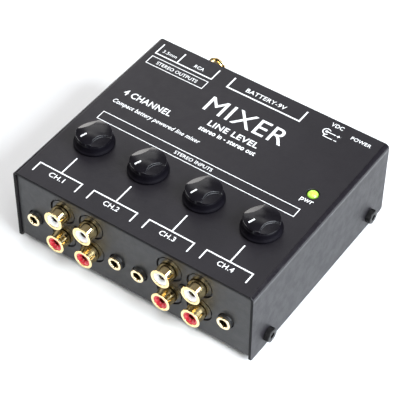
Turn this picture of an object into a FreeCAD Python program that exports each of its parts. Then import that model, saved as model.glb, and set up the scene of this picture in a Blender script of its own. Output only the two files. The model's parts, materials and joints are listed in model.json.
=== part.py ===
import FreeCAD, Part
import math
import os

from FreeCAD import Vector

# Portable four-channel stereo line mixer: a folded sheet-metal box with input sockets at
# the front, output sockets and power at the rear, and four level knobs on top.
# Millimetres. X runs to the right along the front, the front faces -Y, Z is up.
# The shapes are drawn about the middle of the case. Each node is then moved so that the
# origin is on the table, under the middle of the overall box with the sockets.

# ---- case ----
CASE_WIDTH = 114.3
CASE_DEPTH = 99.2
COVER_HEIGHT = 37.4
SHEET = 1.2
COVER_BEND = 2.0
FOOT_HEIGHT = 3.0
WALL_BELOW_FLOOR = 1.0
PANEL_RECESS = 0.9
COVER_GAP = 0.15
CORNER_CLIP = 1.0
PANEL_CORNER_CLIP = 0.7
FLANGE_HEIGHT = 12.0

FLOOR_BOTTOM = FOOT_HEIGHT
FLOOR_TOP = FLOOR_BOTTOM + SHEET
COVER_BOTTOM = FLOOR_BOTTOM - WALL_BELOW_FLOOR
COVER_TOP = COVER_BOTTOM + COVER_HEIGHT
COVER_INSIDE = COVER_TOP - SHEET
HALF_WIDTH = CASE_WIDTH / 2
HALF_DEPTH = CASE_DEPTH / 2
CHASSIS_HALF_WIDTH = HALF_WIDTH - SHEET - COVER_GAP
PANEL = HALF_DEPTH - PANEL_RECESS
PANEL_INSIDE = PANEL - SHEET

# ---- fasteners ----
THREAD_RADIUS = 1.45
TAPPED_RADIUS = 1.5
CLEARANCE_RADIUS = 1.7
COVER_SCREW_Y = 38.0
COVER_SCREW_Z = COVER_BOTTOM + 6.2
COVER_HEAD_RADIUS = 3.1
COVER_HEAD_HEIGHT = 2.4
PAN_HEAD_RADIUS = 2.6
PAN_HEAD_HEIGHT = 1.8
FOOT_X = 42.0
FOOT_Y = 36.0
FOOT_RADIUS = 5.0

# ---- boards ----
BOARD = 1.6
BOARD_HALF_WIDTH = 51.6
BOARD_HALF_DEPTH = 46.8
PILLAR_FLATS = 5.5
MAIN_BOTTOM = FLOOR_TOP + 2.8
MAIN_TOP = MAIN_BOTTOM + BOARD
UPPER_BOTTOM = 28.4
UPPER_TOP = UPPER_BOTTOM + BOARD
UPPER_FRONT = -30.0
UPPER_BACK = -7.0
LED_TAB_LEFT = 38.0
LED_TAB_BACK = 18.0
STACK_PLACES = [(-27.0, -18.3), (26.6, -18.3), (45.5, 14.8)]
LONE_PLACES = [(-45.5, 14.0), (-46.5, -27.0), (46.5, -27.0)]

# ---- level controls ----
KNOB_PITCH = 26.8
KNOB_ROW_X = -0.2
KNOB_ROW_Y = -18.3
POT_RADIUS = 8.25
POT_HEIGHT = 7.0
POT_BUSH_RADIUS = 3.5
SHAFT_RADIUS = 3.0
SHAFT_FLAT = 2.4
RUNNING_FIT = 0.05
SHAFT_TOP = COVER_TOP + 5.4
COVER_SHAFT_HOLE = 4.2
KNOB_BOTTOM = COVER_TOP + 0.4
KNOB_SKIRT_RADIUS = 8.5
KNOB_GRIP_RADIUS = 7.4
KNOB_RIM = COVER_TOP + 5.5
KNOB_CROWN = COVER_TOP + 7.1
SCOOP_RADIUS = 6.2
SCOOP_OFFSET = 10.0
SCOOP_TILT = 21.0
SCOOP_ANGLES = (148.5, 328.5)
POINTER_ANGLE = 242.0
POINTER_CENTRE = 4.5
POINTER_LENGTH = 2.7
POINTER_WIDTH = 0.8
POINTER_FLOOR = COVER_TOP + 5.9

# ---- power lamp ----
LED_X = 46.3
LED_Y = 8.7
LED_RADIUS = 2.5
LED_HOLE_RADIUS = 2.65
LED_DOME_TOP = COVER_TOP + 0.9

# ---- sockets ----
BLOCK_X = (-26.3, 25.4)
RCA_PITCH = 14.1
RCA_LOW_Z = 16.1
RCA_HIGH_Z = 29.6
RCA_REACH = 6.2
RCA_FLANGE_RADIUS = 4.3
RCA_BARREL_RADIUS = 4.1
RCA_NECK_RADIUS = 3.75
RCA_TAPER_END = 3.9
RCA_BORE_RADIUS = 3.15
RCA_SOCKET_RADIUS = 1.6
RCA_CONTACT_RADIUS = 2.0
RCA_BOSS_RADIUS = 5.3
RCA_HOLE_RADIUS = 5.8
RCA_BLOCK_DEPTH = 12.0
RCA_BLOCK_TOP = 36.6
BLOCK_SCREW_Z = (RCA_LOW_Z + RCA_HIGH_Z) / 2
JACK_X = (-47.6, -6.9, 4.1, 44.8)
JACK_Z = 17.6
JACK_REACH = 2.0
JACK_BORE_RADIUS = 1.85
JACK_NOSE_RADIUS = 3.2
JACK_RING_RADIUS = 3.05
JACK_HOLE_RADIUS = 3.6
JACK_BODY_WIDTH = 8.6
JACK_BODY_TOP = 22.0
JACK_BODY_DEPTH = 13.5

# ---- rear panel ----
OUTPUT_JACK_X = -46.6
OUTPUT_RCA_X = -32.6
OUTPUT_RCA_REACH = 9.2
ORIGIN_Y = (OUTPUT_RCA_REACH - RCA_REACH) / 2
DC_X = 34.9
SWITCH_X = 47.0
POWER_Z = 15.1
DC_BORE_RADIUS = 2.9
DC_PIN_RADIUS = 1.05
DC_NOSE_RADIUS = 3.9
BUTTON_RADIUS = 3.2
BUTTON_HOLE_RADIUS = 3.5
BUTTON_REACH = 4.0
SPRING_RADIUS = 1.2
SPRING_WIRE_RADIUS = 0.2
SPRING_COILS = 8
SPRING_END = PANEL_INSIDE - 16.5
BATTERY_X = 2.3
BATTERY_BOX_WIDTH = 32.4
BATTERY_BOX_HEIGHT = 22.6
BATTERY_WALL = 1.2
BEZEL_WIDTH = 35.8
BEZEL_HEIGHT = 25.6
BEZEL_PROUD = 1.6
BATTERY_BOX_END = -4.6
DRAWER_CLEARANCE = 0.2
BATTERY_WIDTH = 26.4
BATTERY_HEIGHT = 17.4
BATTERY_LENGTH = 46.0
TERMINAL_SPACING = 12.7


def box(x0, x1, y0, y1, z0, z1):
    """Box between two opposite corners."""
    return Part.makeBox(x1 - x0, y1 - y0, z1 - z0, Vector(x0, y0, z0))


def rod(radius, start, end):
    """Solid cylinder between two points."""
    axis = Vector(*end) - Vector(*start)
    return Part.makeCylinder(radius, axis.Length, Vector(*start), axis)


def turned_y(profile, x, z):
    """Solid turned about a line along Y; profile is (radius, y)."""
    points = [Vector(x + radius, y, z) for radius, y in profile]
    face = Part.Face(Part.makePolygon(points + points[:1]))
    return face.revolve(Vector(x, 0, z), Vector(0, 1, 0), 360)


def turned_z(edges, x, y):
    """Solid turned about a line along Z from a closed loop of edges drawn at x, y."""
    face = Part.Face(Part.Wire(edges))
    face.translate(Vector(x, y, 0))
    return face.revolve(Vector(x, y, 0), Vector(0, 0, 1), 360)


def line(start, end):
    """Straight edge in the XZ plane."""
    return Part.LineSegment(Vector(start[0], 0, start[1]), Vector(end[0], 0, end[1])).toShape()


def arc(start, middle, end):
    """Arc through three points in the XZ plane."""
    points = [Vector(p[0], 0, p[1]) for p in (start, middle, end)]
    return Part.Arc(*points).toShape()


def hexagon(flats, x, y, z0, z1):
    """Hexagonal bar along Z."""
    radius = flats / 2 / math.cos(math.pi / 6)
    corners = [
        Vector(x + radius * math.cos(math.radians(a)), y + radius * math.sin(math.radians(a)), z0)
        for a in range(0, 361, 60)
    ]
    return Part.Face(Part.makePolygon(corners)).extrude(Vector(0, 0, z1 - z0))


def joined(shapes):
    """One solid from overlapping or touching shapes."""
    return shapes[0].multiFuse(shapes[1:]).removeSplitter()


def group(shapes):
    """Separate solids kept together in one node."""
    return Part.makeCompound(shapes)


def at_rear(shape):
    """Turn a front-panel shape to face the rear panel."""
    return shape.mirror(Vector(0, 0, 0), Vector(0, 1, 0))


def moved(shape, x):
    """Copy of a shape moved along X."""
    copy = shape.copy()
    copy.translate(Vector(x, 0, 0))
    return copy


def save(name, shape):
    """Move one node to the origin of the overall box, write it and report its size."""
    if not shape.isValid():
        raise ValueError(name + " is not valid")
    node = shape.copy()
    node.translate(Vector(0, -ORIGIN_Y, 0))
    node.exportStep("parts/" + name + ".step")
    print(name, len(shape.Solids), round(shape.Volume, 1))


# ---------------------------------------------------------------- case

def cover():
    """Wrap-around cover: top and both side walls from one sheet."""
    outer = box(-HALF_WIDTH, HALF_WIDTH, -HALF_DEPTH, HALF_DEPTH, COVER_BOTTOM, COVER_TOP)
    bends = [e for e in outer.Edges if abs(e.CenterOfMass.z - COVER_TOP) < 0.01
             and abs(abs(e.CenterOfMass.x) - HALF_WIDTH) < 0.01]
    outer = outer.makeFillet(COVER_BEND, bends)
    inside = HALF_WIDTH - SHEET
    reach = HALF_DEPTH + 1
    inner = box(-inside, inside, -reach, reach, COVER_BOTTOM - 1, COVER_INSIDE)
    bends = [e for e in inner.Edges if abs(e.CenterOfMass.z - COVER_INSIDE) < 0.01
             and abs(abs(e.CenterOfMass.x) - inside) < 0.01]
    shell = outer.cut(inner.makeFillet(COVER_BEND - SHEET, bends))
    clips = [e for e in shell.Edges if abs(e.CenterOfMass.z - COVER_BOTTOM) < 0.01
             and abs(abs(e.CenterOfMass.y) - HALF_DEPTH) < 0.01]
    shell = shell.makeChamfer(CORNER_CLIP, clips)
    holes = [rod(COVER_SHAFT_HOLE, (x, KNOB_ROW_Y, COVER_INSIDE - 1), (x, KNOB_ROW_Y, COVER_TOP + 1))
             for x in knob_places()]
    holes.append(rod(LED_HOLE_RADIUS, (LED_X, LED_Y, COVER_INSIDE - 1), (LED_X, LED_Y, COVER_TOP + 1)))
    for y in (-COVER_SCREW_Y, COVER_SCREW_Y):
        ends = [(side * (HALF_WIDTH + 1), y, COVER_SCREW_Z) for side in (-1, 1)]
        holes.append(rod(CLEARANCE_RADIUS, ends[0], ends[1]))
    return shell.cut(group(holes))


def panel_holes():
    """Openings in the front and rear panels."""
    reach = HALF_DEPTH + 1
    inner = PANEL_INSIDE - 2
    front = [(x + side * RCA_PITCH / 2, z, RCA_HOLE_RADIUS)
             for x in BLOCK_X for side in (-1, 1) for z in (RCA_LOW_Z, RCA_HIGH_Z)]
    front += [(x, JACK_Z, JACK_HOLE_RADIUS) for x in JACK_X]
    front += [(x, BLOCK_SCREW_Z, CLEARANCE_RADIUS) for x in BLOCK_X]
    rear = [(OUTPUT_RCA_X, z, RCA_HOLE_RADIUS) for z in (RCA_LOW_Z, RCA_HIGH_Z)]
    rear.append((OUTPUT_JACK_X, JACK_Z, JACK_HOLE_RADIUS))
    rear.append((OUTPUT_RCA_X, BLOCK_SCREW_Z, CLEARANCE_RADIUS))
    rear.append((DC_X, POWER_Z, DC_NOSE_RADIUS + 0.2))
    rear.append((SWITCH_X, POWER_Z, BUTTON_HOLE_RADIUS))
    tools = [rod(r, (x, -reach, z), (x, -inner, z)) for x, z, r in front]
    tools += [rod(r, (x, inner, z), (x, reach, z)) for x, z, r in rear]
    half = BATTERY_BOX_WIDTH / 2 + 0.1
    tools.append(box(BATTERY_X - half, BATTERY_X + half, inner, reach,
                     MAIN_TOP - 0.1, MAIN_TOP + BATTERY_BOX_HEIGHT + 0.1))
    return tools


def folded_tray():
    """Floor, front and rear panels, and two low side flanges, folded from one sheet."""
    top = COVER_INSIDE - COVER_GAP
    wide = CHASSIS_HALF_WIDTH
    walls = [box(-wide, wide, -PANEL, PANEL, FLOOR_BOTTOM, top).cut(
        box(-wide - 1, wide + 1, -PANEL_INSIDE, PANEL_INSIDE, FLOOR_TOP, top + 1))]
    flange = PANEL_INSIDE - 1.6
    for side in (-1, 1):
        inner, outer = sorted((side * (wide - SHEET), side * wide))
        walls.append(box(inner, outer, -flange, flange, FLOOR_BOTTOM, FLOOR_BOTTOM + FLANGE_HEIGHT))
    tray = joined(walls)
    tools = panel_holes()
    for y in (-COVER_SCREW_Y, COVER_SCREW_Y):
        tools.append(rod(TAPPED_RADIUS, (-HALF_WIDTH, y, COVER_SCREW_Z), (HALF_WIDTH, y, COVER_SCREW_Z)))
    tray = tray.cut(group(tools))
    folds = [e for e in tray.Edges if abs(e.CenterOfMass.z - FLOOR_BOTTOM) < 0.01
             and abs(abs(e.CenterOfMass.y) - PANEL) < 0.01]
    tray = tray.makeFillet(SHEET, folds)
    corners = [e for e in tray.Edges if abs(e.CenterOfMass.z - top) < 0.01
               and abs(abs(e.CenterOfMass.x) - wide) < 0.01]
    return tray.makeChamfer(PANEL_CORNER_CLIP, corners)


def chassis_pieces():
    """The folded tray as three nodes: floor with flanges, front panel, rear panel."""
    tray = folded_tray()
    fronts = box(-HALF_WIDTH, HALF_WIDTH, -PANEL - 1, -PANEL_INSIDE, FLOOR_TOP, COVER_TOP)
    rears = box(-HALF_WIDTH, HALF_WIDTH, PANEL_INSIDE, PANEL + 1, FLOOR_TOP, COVER_TOP)
    return tray.cut(fronts.fuse(rears)), tray.common(fronts), tray.common(rears)


def cover_screws():
    """Four socket-head screws that hold the cover to the flanges."""
    screws = []
    for side in (-1, 1):
        for y in (-COVER_SCREW_Y, COVER_SCREW_Y):
            seat = side * HALF_WIDTH
            end = side * (HALF_WIDTH + COVER_HEAD_HEIGHT)
            tip = side * (CHASSIS_HALF_WIDTH - SHEET - 1.5)
            head = rod(COVER_HEAD_RADIUS, (seat, y, COVER_SCREW_Z), (end, y, COVER_SCREW_Z))
            rim = [e for e in head.Edges if abs(e.CenterOfMass.x - end) < 0.01]
            head = head.makeFillet(0.3, rim)
            shank = rod(THREAD_RADIUS, (tip, y, COVER_SCREW_Z), (seat, y, COVER_SCREW_Z))
            socket = hexagon(2.5, 0, 0, -0.4, 1.5)
            socket.rotate(Vector(0, 0, 0), Vector(0, 1, 0), -90 * side)
            socket.translate(Vector(end, y, COVER_SCREW_Z))
            screws.append(joined([head, shank]).cut(socket))
    return group(screws)


def feet():
    """Four stick-on rubber feet."""
    places = [(x, y) for x in (-FOOT_X, FOOT_X) for y in (-FOOT_Y, FOOT_Y)]
    return group([Part.makeCone(FOOT_RADIUS - 0.6, FOOT_RADIUS, FOOT_HEIGHT, Vector(x, y, 0))
                  for x, y in places])


# ---------------------------------------------------------------- boards

def drilled(board, places, bottom):
    """Board with screw holes."""
    tools = [rod(TAPPED_RADIUS, (x, y, bottom - 1), (x, y, bottom + BOARD + 1)) for x, y in places]
    return board.cut(group(tools))


def main_board():
    """Lower circuit board that carries all sockets."""
    board = box(-BOARD_HALF_WIDTH, BOARD_HALF_WIDTH, -BOARD_HALF_DEPTH, BOARD_HALF_DEPTH,
                MAIN_BOTTOM, MAIN_TOP)
    return drilled(board, STACK_PLACES + LONE_PLACES, MAIN_BOTTOM)


def upper_board():
    """Upper circuit board that carries the four controls and the lamp."""
    strip = box(-BOARD_HALF_WIDTH, BOARD_HALF_WIDTH, UPPER_FRONT, UPPER_BACK, UPPER_BOTTOM, UPPER_TOP)
    tab = box(LED_TAB_LEFT, BOARD_HALF_WIDTH, UPPER_BACK, LED_TAB_BACK, UPPER_BOTTOM, UPPER_TOP)
    return drilled(joined([strip, tab]), STACK_PLACES, UPPER_BOTTOM)


def board_pillars():
    """Short hexagonal pillars between the floor and the main board."""
    return group([hexagon(PILLAR_FLATS, x, y, FLOOR_TOP, MAIN_BOTTOM).cut(
        rod(TAPPED_RADIUS, (x, y, 0), (x, y, MAIN_TOP))) for x, y in STACK_PLACES + LONE_PLACES])


def upper_pillars():
    """Long hexagonal pillars, each with a stud below and a tapped hole above."""
    pillars = []
    for x, y in STACK_PLACES:
        bar = hexagon(PILLAR_FLATS, x, y, MAIN_TOP, UPPER_BOTTOM)
        stud = rod(THREAD_RADIUS, (x, y, FLOOR_TOP + 0.2), (x, y, MAIN_TOP))
        hole = rod(TAPPED_RADIUS, (x, y, UPPER_BOTTOM - 6), (x, y, UPPER_BOTTOM))
        pillars.append(joined([bar, stud]).cut(hole))
    return group(pillars)


def board_screws(places, seat, length):
    """Pan-head screws with a cross recess, driven down into pillars."""
    screws = []
    for x, y in places:
        head = rod(PAN_HEAD_RADIUS, (x, y, seat), (x, y, seat + PAN_HEAD_HEIGHT))
        shank = rod(THREAD_RADIUS, (x, y, seat - length), (x, y, seat))
        top = seat + PAN_HEAD_HEIGHT
        recess = joined([box(x - 1.4, x + 1.4, y - 0.3, y + 0.3, top - 0.9, top + 1),
                         box(x - 0.3, x + 0.3, y - 1.4, y + 1.4, top - 0.9, top + 1)])
        screws.append(joined([head, shank]).cut(recess))
    return group(screws)


def board_header():
    """Row of pins that joins the two boards."""
    base = box(-12.7, 12.7, -10.5, -8.0, MAIN_TOP, MAIN_TOP + 2.5)
    pins = [box(x - 0.32, x + 0.32, -9.6, -8.96, MAIN_TOP + 2.5, UPPER_BOTTOM)
            for x in [-11.43 + 2.54 * k for k in range(10)]]
    cap = box(-12.7, 12.7, -10.5, -8.0, UPPER_BOTTOM - 2.5, UPPER_BOTTOM)
    return joined([base, cap] + pins)


def amplifier_chips():
    """Four dual in-line amplifier chips on the main board."""
    chips = []
    for x in (-36.0, -22.0, 24.0, 36.0):
        chips.append(box(x - 4.7, x + 4.7, -4.0, 2.4, MAIN_TOP + 0.6, MAIN_TOP + 3.9))
        for k in range(4):
            pin = x - 3.81 + 2.54 * k
            for y in (-4.7, 2.4):
                leg = box(pin - 0.25, pin + 0.25, y, y + 0.7, MAIN_TOP, MAIN_TOP + 2.4)
                chips[-1] = chips[-1].fuse(leg)
    return group([chip.removeSplitter() for chip in chips])


# ---------------------------------------------------------------- level controls

def knob_places():
    """X of the four controls, left to right."""
    return [KNOB_ROW_X + KNOB_PITCH * (k - 1.5) for k in range(4)]


def pot_body(x):
    """Housing of one rotary control, hollow for its wiper."""
    y = KNOB_ROW_Y
    can = rod(POT_RADIUS, (x, y, UPPER_TOP), (x, y, UPPER_TOP + POT_HEIGHT))
    bush = rod(POT_BUSH_RADIUS, (x, y, UPPER_TOP + POT_HEIGHT), (x, y, COVER_INSIDE + 0.4))
    wafer = box(x - 4.5, x + 4.5, y - POT_RADIUS - 2.0, y, UPPER_TOP, UPPER_TOP + 1.0)
    hollow = rod(POT_RADIUS - 0.9, (x, y, UPPER_TOP + 1.2), (x, y, UPPER_TOP + POT_HEIGHT - 1.2))
    bore = rod(SHAFT_RADIUS + RUNNING_FIT, (x, y, UPPER_TOP + 2), (x, y, COVER_TOP))
    return joined([can, bush, wafer]).cut(group([hollow.fuse(bore)]))


def pot_shaft(x):
    """Shaft and wiper disc of one rotary control; the upper part has a flat."""
    y = KNOB_ROW_Y
    bar = rod(SHAFT_RADIUS, (x, y, UPPER_TOP + 2.2), (x, y, SHAFT_TOP))
    disc = rod(POT_RADIUS - 1.6, (x, y, UPPER_TOP + 2.2), (x, y, UPPER_TOP + 3.6))
    flat = box(SHAFT_FLAT, SHAFT_RADIUS + 1, -5, 5, KNOB_BOTTOM, SHAFT_TOP + 1)
    flat.rotate(Vector(0, 0, 0), Vector(0, 0, 1), POINTER_ANGLE + 180)
    flat.translate(Vector(x, y, 0))
    return joined([bar, disc]).cut(flat)


def knob_blank():
    """Turned outside of a knob at the origin: flared skirt, grip and domed crown."""
    foot = KNOB_SKIRT_RADIUS
    grip = KNOB_GRIP_RADIUS
    rise = KNOB_BOTTOM
    crown_edge = grip - 0.3
    crown_rise = KNOB_CROWN - KNOB_RIM
    crown_radius = (crown_edge ** 2 + crown_rise ** 2) / (2 * crown_rise)
    half_turn = math.asin(crown_edge / crown_radius) / 2
    crown_middle = (crown_radius * math.sin(half_turn),
                    KNOB_CROWN - crown_radius * (1 - math.cos(half_turn)))
    edges = [
        line((0, rise), (foot - 0.2, rise)),
        arc((foot - 0.2, rise), (foot - 0.06, rise + 0.06), (foot, rise + 0.2)),
        line((foot, rise + 0.2), (foot, rise + 0.8)),
        arc((foot, rise + 0.8), (grip + 0.42, rise + 1.3), (grip + 0.12, rise + 2.4)),
        line((grip + 0.12, rise + 2.4), (grip, KNOB_RIM - 0.3)),
        arc((grip, KNOB_RIM - 0.3), (grip - 0.1, KNOB_RIM - 0.08), (crown_edge, KNOB_RIM)),
        arc((crown_edge, KNOB_RIM), crown_middle, (0, KNOB_CROWN)),
        line((0, KNOB_CROWN), (0, rise)),
    ]
    return turned_z(edges, 0, 0)


def scoop(angle):
    """Cutter for one finger scoop on the crown: a tilted round with a flat floor."""
    across = math.radians(angle)
    lean = math.radians(SCOOP_TILT)
    outward = Vector(math.cos(across), math.sin(across), 0)
    floor = KNOB_CROWN - 0.9 - (SCOOP_RADIUS * math.sin(lean) + 0.1)
    centre = outward * SCOOP_OFFSET + Vector(0, 0, floor)
    axis = outward * math.sin(lean) + Vector(0, 0, math.cos(lean))
    return Part.makeCylinder(SCOOP_RADIUS, 8, centre, axis)


def knob(x):
    """One level knob with finger scoops, pointer groove, hub and shaft bore."""
    pointer = box(POINTER_CENTRE - POINTER_LENGTH / 2, POINTER_CENTRE + POINTER_LENGTH / 2,
                  -POINTER_WIDTH / 2, POINTER_WIDTH / 2, POINTER_FLOOR, KNOB_CROWN + 1)
    pointer.rotate(Vector(0, 0, 0), Vector(0, 0, 1), POINTER_ANGLE)
    hollow = rod(KNOB_GRIP_RADIUS - 1.1, (0, 0, KNOB_BOTTOM - 1), (0, 0, KNOB_RIM - 1.9))
    hub = rod(SHAFT_RADIUS + 1.3, (0, 0, KNOB_BOTTOM - 2), (0, 0, KNOB_RIM))
    bore = rod(SHAFT_RADIUS, (0, 0, KNOB_BOTTOM - 2), (0, 0, SHAFT_TOP))
    flat = box(SHAFT_FLAT, SHAFT_RADIUS + 1, -5, 5, KNOB_BOTTOM - 3, SHAFT_TOP + 1)
    flat.rotate(Vector(0, 0, 0), Vector(0, 0, 1), POINTER_ANGLE + 180)
    tools = [hollow.cut(hub), bore.cut(flat), pointer] + [scoop(a) for a in SCOOP_ANGLES]
    shape = knob_blank()
    for tool in tools:
        shape = shape.cut(tool)
    shape.translate(Vector(x, KNOB_ROW_Y, 0))
    return shape


def power_led():
    """Round lamp with a domed end, a base flange and two leads."""
    shoulder = LED_DOME_TOP - LED_RADIUS
    base = UPPER_TOP + 3.0
    r = LED_RADIUS
    diagonal = r * math.sqrt(0.5)
    edges = [
        line((0, base), (r + 0.4, base)),
        line((r + 0.4, base), (r + 0.4, base + 1.0)),
        line((r + 0.4, base + 1.0), (r, base + 1.0)),
        line((r, base + 1.0), (r, shoulder)),
        arc((r, shoulder), (diagonal, shoulder + diagonal), (0, LED_DOME_TOP)),
        line((0, LED_DOME_TOP), (0, base)),
    ]
    lens = turned_z(edges, LED_X, LED_Y)
    leads = [box(LED_X + s * 1.27 - 0.25, LED_X + s * 1.27 + 0.25, LED_Y - 0.25, LED_Y + 0.25,
                 UPPER_TOP, base) for s in (-1, 1)]
    return joined([lens] + leads)


def led_spacer():
    """Plastic spacer that holds the lamp off the board."""
    ring = rod(LED_RADIUS + 0.4, (LED_X, LED_Y, UPPER_TOP), (LED_X, LED_Y, UPPER_TOP + 3.0))
    holes = [box(LED_X + s * 1.27 - 0.25, LED_X + s * 1.27 + 0.25, LED_Y - 0.25, LED_Y + 0.25,
                 UPPER_TOP - 1, UPPER_TOP + 4) for s in (-1, 1)]
    return ring.cut(group(holes))


# ---------------------------------------------------------------- phono sockets

def rca_shell(x, z, reach=RCA_REACH):
    """Plated barrel with a thin flange at the mouth and a neck that widens behind it."""
    mouth = -PANEL - reach
    inner_end = -PANEL + 5.0
    profile = [
        (RCA_BORE_RADIUS, mouth), (RCA_FLANGE_RADIUS - 0.2, mouth),
        (RCA_FLANGE_RADIUS, mouth + 0.2), (RCA_FLANGE_RADIUS, mouth + 0.55),
        (RCA_NECK_RADIUS, mouth + 0.75), (RCA_BARREL_RADIUS, mouth + RCA_TAPER_END),
        (RCA_BARREL_RADIUS, inner_end), (RCA_BORE_RADIUS, inner_end),
    ]
    return turned_y(profile, x, z)


def rca_insert(x, z, reach=RCA_REACH):
    """Coloured insulator that fills the barrel around the centre contact."""
    mouth = -PANEL - reach + 0.15
    inner_end = -PANEL + 5.0
    profile = [
        (RCA_SOCKET_RADIUS, mouth), (RCA_BORE_RADIUS, mouth), (RCA_BORE_RADIUS, inner_end),
        (RCA_CONTACT_RADIUS, inner_end), (RCA_CONTACT_RADIUS, mouth + 1.5),
        (RCA_SOCKET_RADIUS, mouth + 1.5),
    ]
    return turned_y(profile, x, z)


def rca_contact(x, z, sideways, reach=RCA_REACH):
    """Centre contact: a tube for the plug's pin and a tail down to the board."""
    mouth = -PANEL - reach + 1.65
    back = -PANEL_INSIDE + RCA_BLOCK_DEPTH
    tube = turned_y([(RCA_SOCKET_RADIUS, mouth), (RCA_CONTACT_RADIUS, mouth),
                     (RCA_CONTACT_RADIUS, back), (RCA_SOCKET_RADIUS, back)], x, z)
    tail_x = x + sideways
    strap = box(min(x, tail_x) - 0.6, max(x, tail_x) + 0.6, back, back + 0.4, z - 2.0, z + 2.0)
    tail = box(tail_x - 0.6, tail_x + 0.6, back, back + 0.4, MAIN_TOP, z)
    return joined([tube, strap, tail])


def rca_body(columns):
    """Moulded block behind the panel with a round boss in each panel hole."""
    half = RCA_PITCH * len(columns) / 2 + 0.1
    back = -PANEL_INSIDE + RCA_BLOCK_DEPTH
    block = [box(-half, half, -PANEL_INSIDE, back, MAIN_TOP, RCA_BLOCK_TOP)]
    tools = [rod(1.3, (0, -PANEL - 1, BLOCK_SCREW_Z), (0, -PANEL_INSIDE + 6, BLOCK_SCREW_Z))]
    for x in columns:
        for z in (RCA_LOW_Z, RCA_HIGH_Z):
            block.append(rod(RCA_BOSS_RADIUS, (x, -PANEL + 0.3, z), (x, -PANEL_INSIDE + 1, z)))
            tools.append(rod(RCA_BARREL_RADIUS, (x, -PANEL - 1, z), (x, -PANEL + 5.0, z)))
            tools.append(rod(RCA_CONTACT_RADIUS, (x, -PANEL, z), (x, back, z)))
    return joined(block).cut(tools[0].multiFuse(tools[1:]))


def rca_body_screw():
    """Cross-recess screw that holds a phono block to its panel."""
    z = BLOCK_SCREW_Z
    head = rod(PAN_HEAD_RADIUS, (0, -PANEL - 1.5, z), (0, -PANEL, z))
    rim = [e for e in head.Edges if abs(e.CenterOfMass.y + PANEL + 1.5) < 0.01]
    head = head.makeFillet(0.5, rim)
    shank = rod(1.25, (0, -PANEL, z), (0, -PANEL_INSIDE + 5.5, z))
    front = -PANEL - 1.5
    recess = joined([box(-1.4, 1.4, front - 1, front + 0.8, z - 0.3, z + 0.3),
                     box(-0.3, 0.3, front - 1, front + 0.8, z - 1.4, z + 1.4)])
    return joined([head, shank]).cut(recess)


# ---------------------------------------------------------------- 3.5 mm sockets

def jack_bush():
    """Metal lining of a 3.5 mm socket with a bright ring at the mouth."""
    mouth = -PANEL - JACK_REACH
    tube = JACK_BORE_RADIUS + 0.45
    return turned_y([
        (JACK_BORE_RADIUS + 0.2, mouth), (JACK_RING_RADIUS - 0.15, mouth),
        (JACK_RING_RADIUS, mouth + 0.15), (JACK_RING_RADIUS, mouth + 0.7),
        (tube, mouth + 0.7), (tube, -PANEL + 2.0), (JACK_BORE_RADIUS, -PANEL + 2.0),
        (JACK_BORE_RADIUS, mouth + 0.3),
    ], 0, JACK_Z)


def jack_contacts():
    """Three spring strips beside the bore, each with a leg down to the board."""
    back = -PANEL_INSIDE + JACK_BODY_DEPTH
    near = JACK_BORE_RADIUS + 0.05
    strips = []
    for side, start in ((-1, -PANEL + 3.0), (1, -PANEL + 5.5)):
        inner, outer = sorted((side * near, side * (near + 0.4)))
        strip = box(inner, outer, start, back - 1.5, JACK_Z - 0.8, JACK_Z + 0.8)
        leg = box(inner, outer, back - 2.5, back - 1.5, MAIN_TOP, JACK_Z)
        strips.append(joined([strip, leg]))
    strip = box(-0.8, 0.8, -PANEL + 3.0, -PANEL + 8.0, JACK_Z - near - 0.4, JACK_Z - near)
    leg = box(-0.8, 0.8, -PANEL + 7.0, -PANEL + 8.0, MAIN_TOP, JACK_Z - near)
    strips.append(joined([strip, leg]))
    return strips


def jack_body():
    """Moulded 3.5 mm socket body with a threaded nose through the panel."""
    half = JACK_BODY_WIDTH / 2
    back = -PANEL_INSIDE + JACK_BODY_DEPTH
    tube = JACK_BORE_RADIUS + 0.45
    block = box(-half, half, -PANEL_INSIDE, back, MAIN_TOP, JACK_BODY_TOP)
    mouth = -PANEL - JACK_REACH + 0.7
    crest = JACK_NOSE_RADIUS
    root = crest - 0.22
    thread = [(0, mouth), (root, mouth)]
    turns = 3
    step = (-PANEL_INSIDE + 0.5 - mouth) / turns
    for k in range(turns):
        thread += [(crest, mouth + step * (k + 0.35)), (crest, mouth + step * (k + 0.65)),
                   (root, mouth + step * (k + 1))]
    thread.append((0, -PANEL_INSIDE + 0.5))
    nose = turned_y(thread, 0, JACK_Z)
    lining = rod(tube, (0, mouth - 1, JACK_Z), (0, -PANEL + 2.0, JACK_Z))
    bore = rod(JACK_BORE_RADIUS, (0, -PANEL, JACK_Z), (0, back + 1, JACK_Z))
    body = joined([block, nose])
    for tool in [lining, bore] + jack_contacts():
        body = body.cut(tool)
    return body


# ---------------------------------------------------------------- power

def dc_jack_body():
    """Moulded power inlet with a round nose in the rear panel."""
    x = DC_X
    block = box(x - 4.5, x + 4.5, PANEL_INSIDE - 13.0, PANEL_INSIDE, MAIN_TOP, MAIN_TOP + 11.0)
    nose = rod(DC_NOSE_RADIUS, (x, PANEL_INSIDE - 1, POWER_Z), (x, PANEL + 0.4, POWER_Z))
    bore = rod(DC_BORE_RADIUS, (x, PANEL - 9.5, POWER_Z), (x, PANEL + 1, POWER_Z))
    pin_seat = rod(DC_PIN_RADIUS, (x, PANEL_INSIDE - 12.0, POWER_Z), (x, PANEL, POWER_Z))
    return joined([block, nose]).cut(bore.fuse(pin_seat))


def dc_jack_pin():
    """Centre pin of the power inlet."""
    pin = rod(DC_PIN_RADIUS, (DC_X, PANEL_INSIDE - 12.0, POWER_Z), (DC_X, PANEL - 0.6, POWER_Z))
    tip = [e for e in pin.Edges if abs(e.CenterOfMass.y - PANEL + 0.6) < 0.01]
    return pin.makeFillet(0.5, tip)


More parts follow.
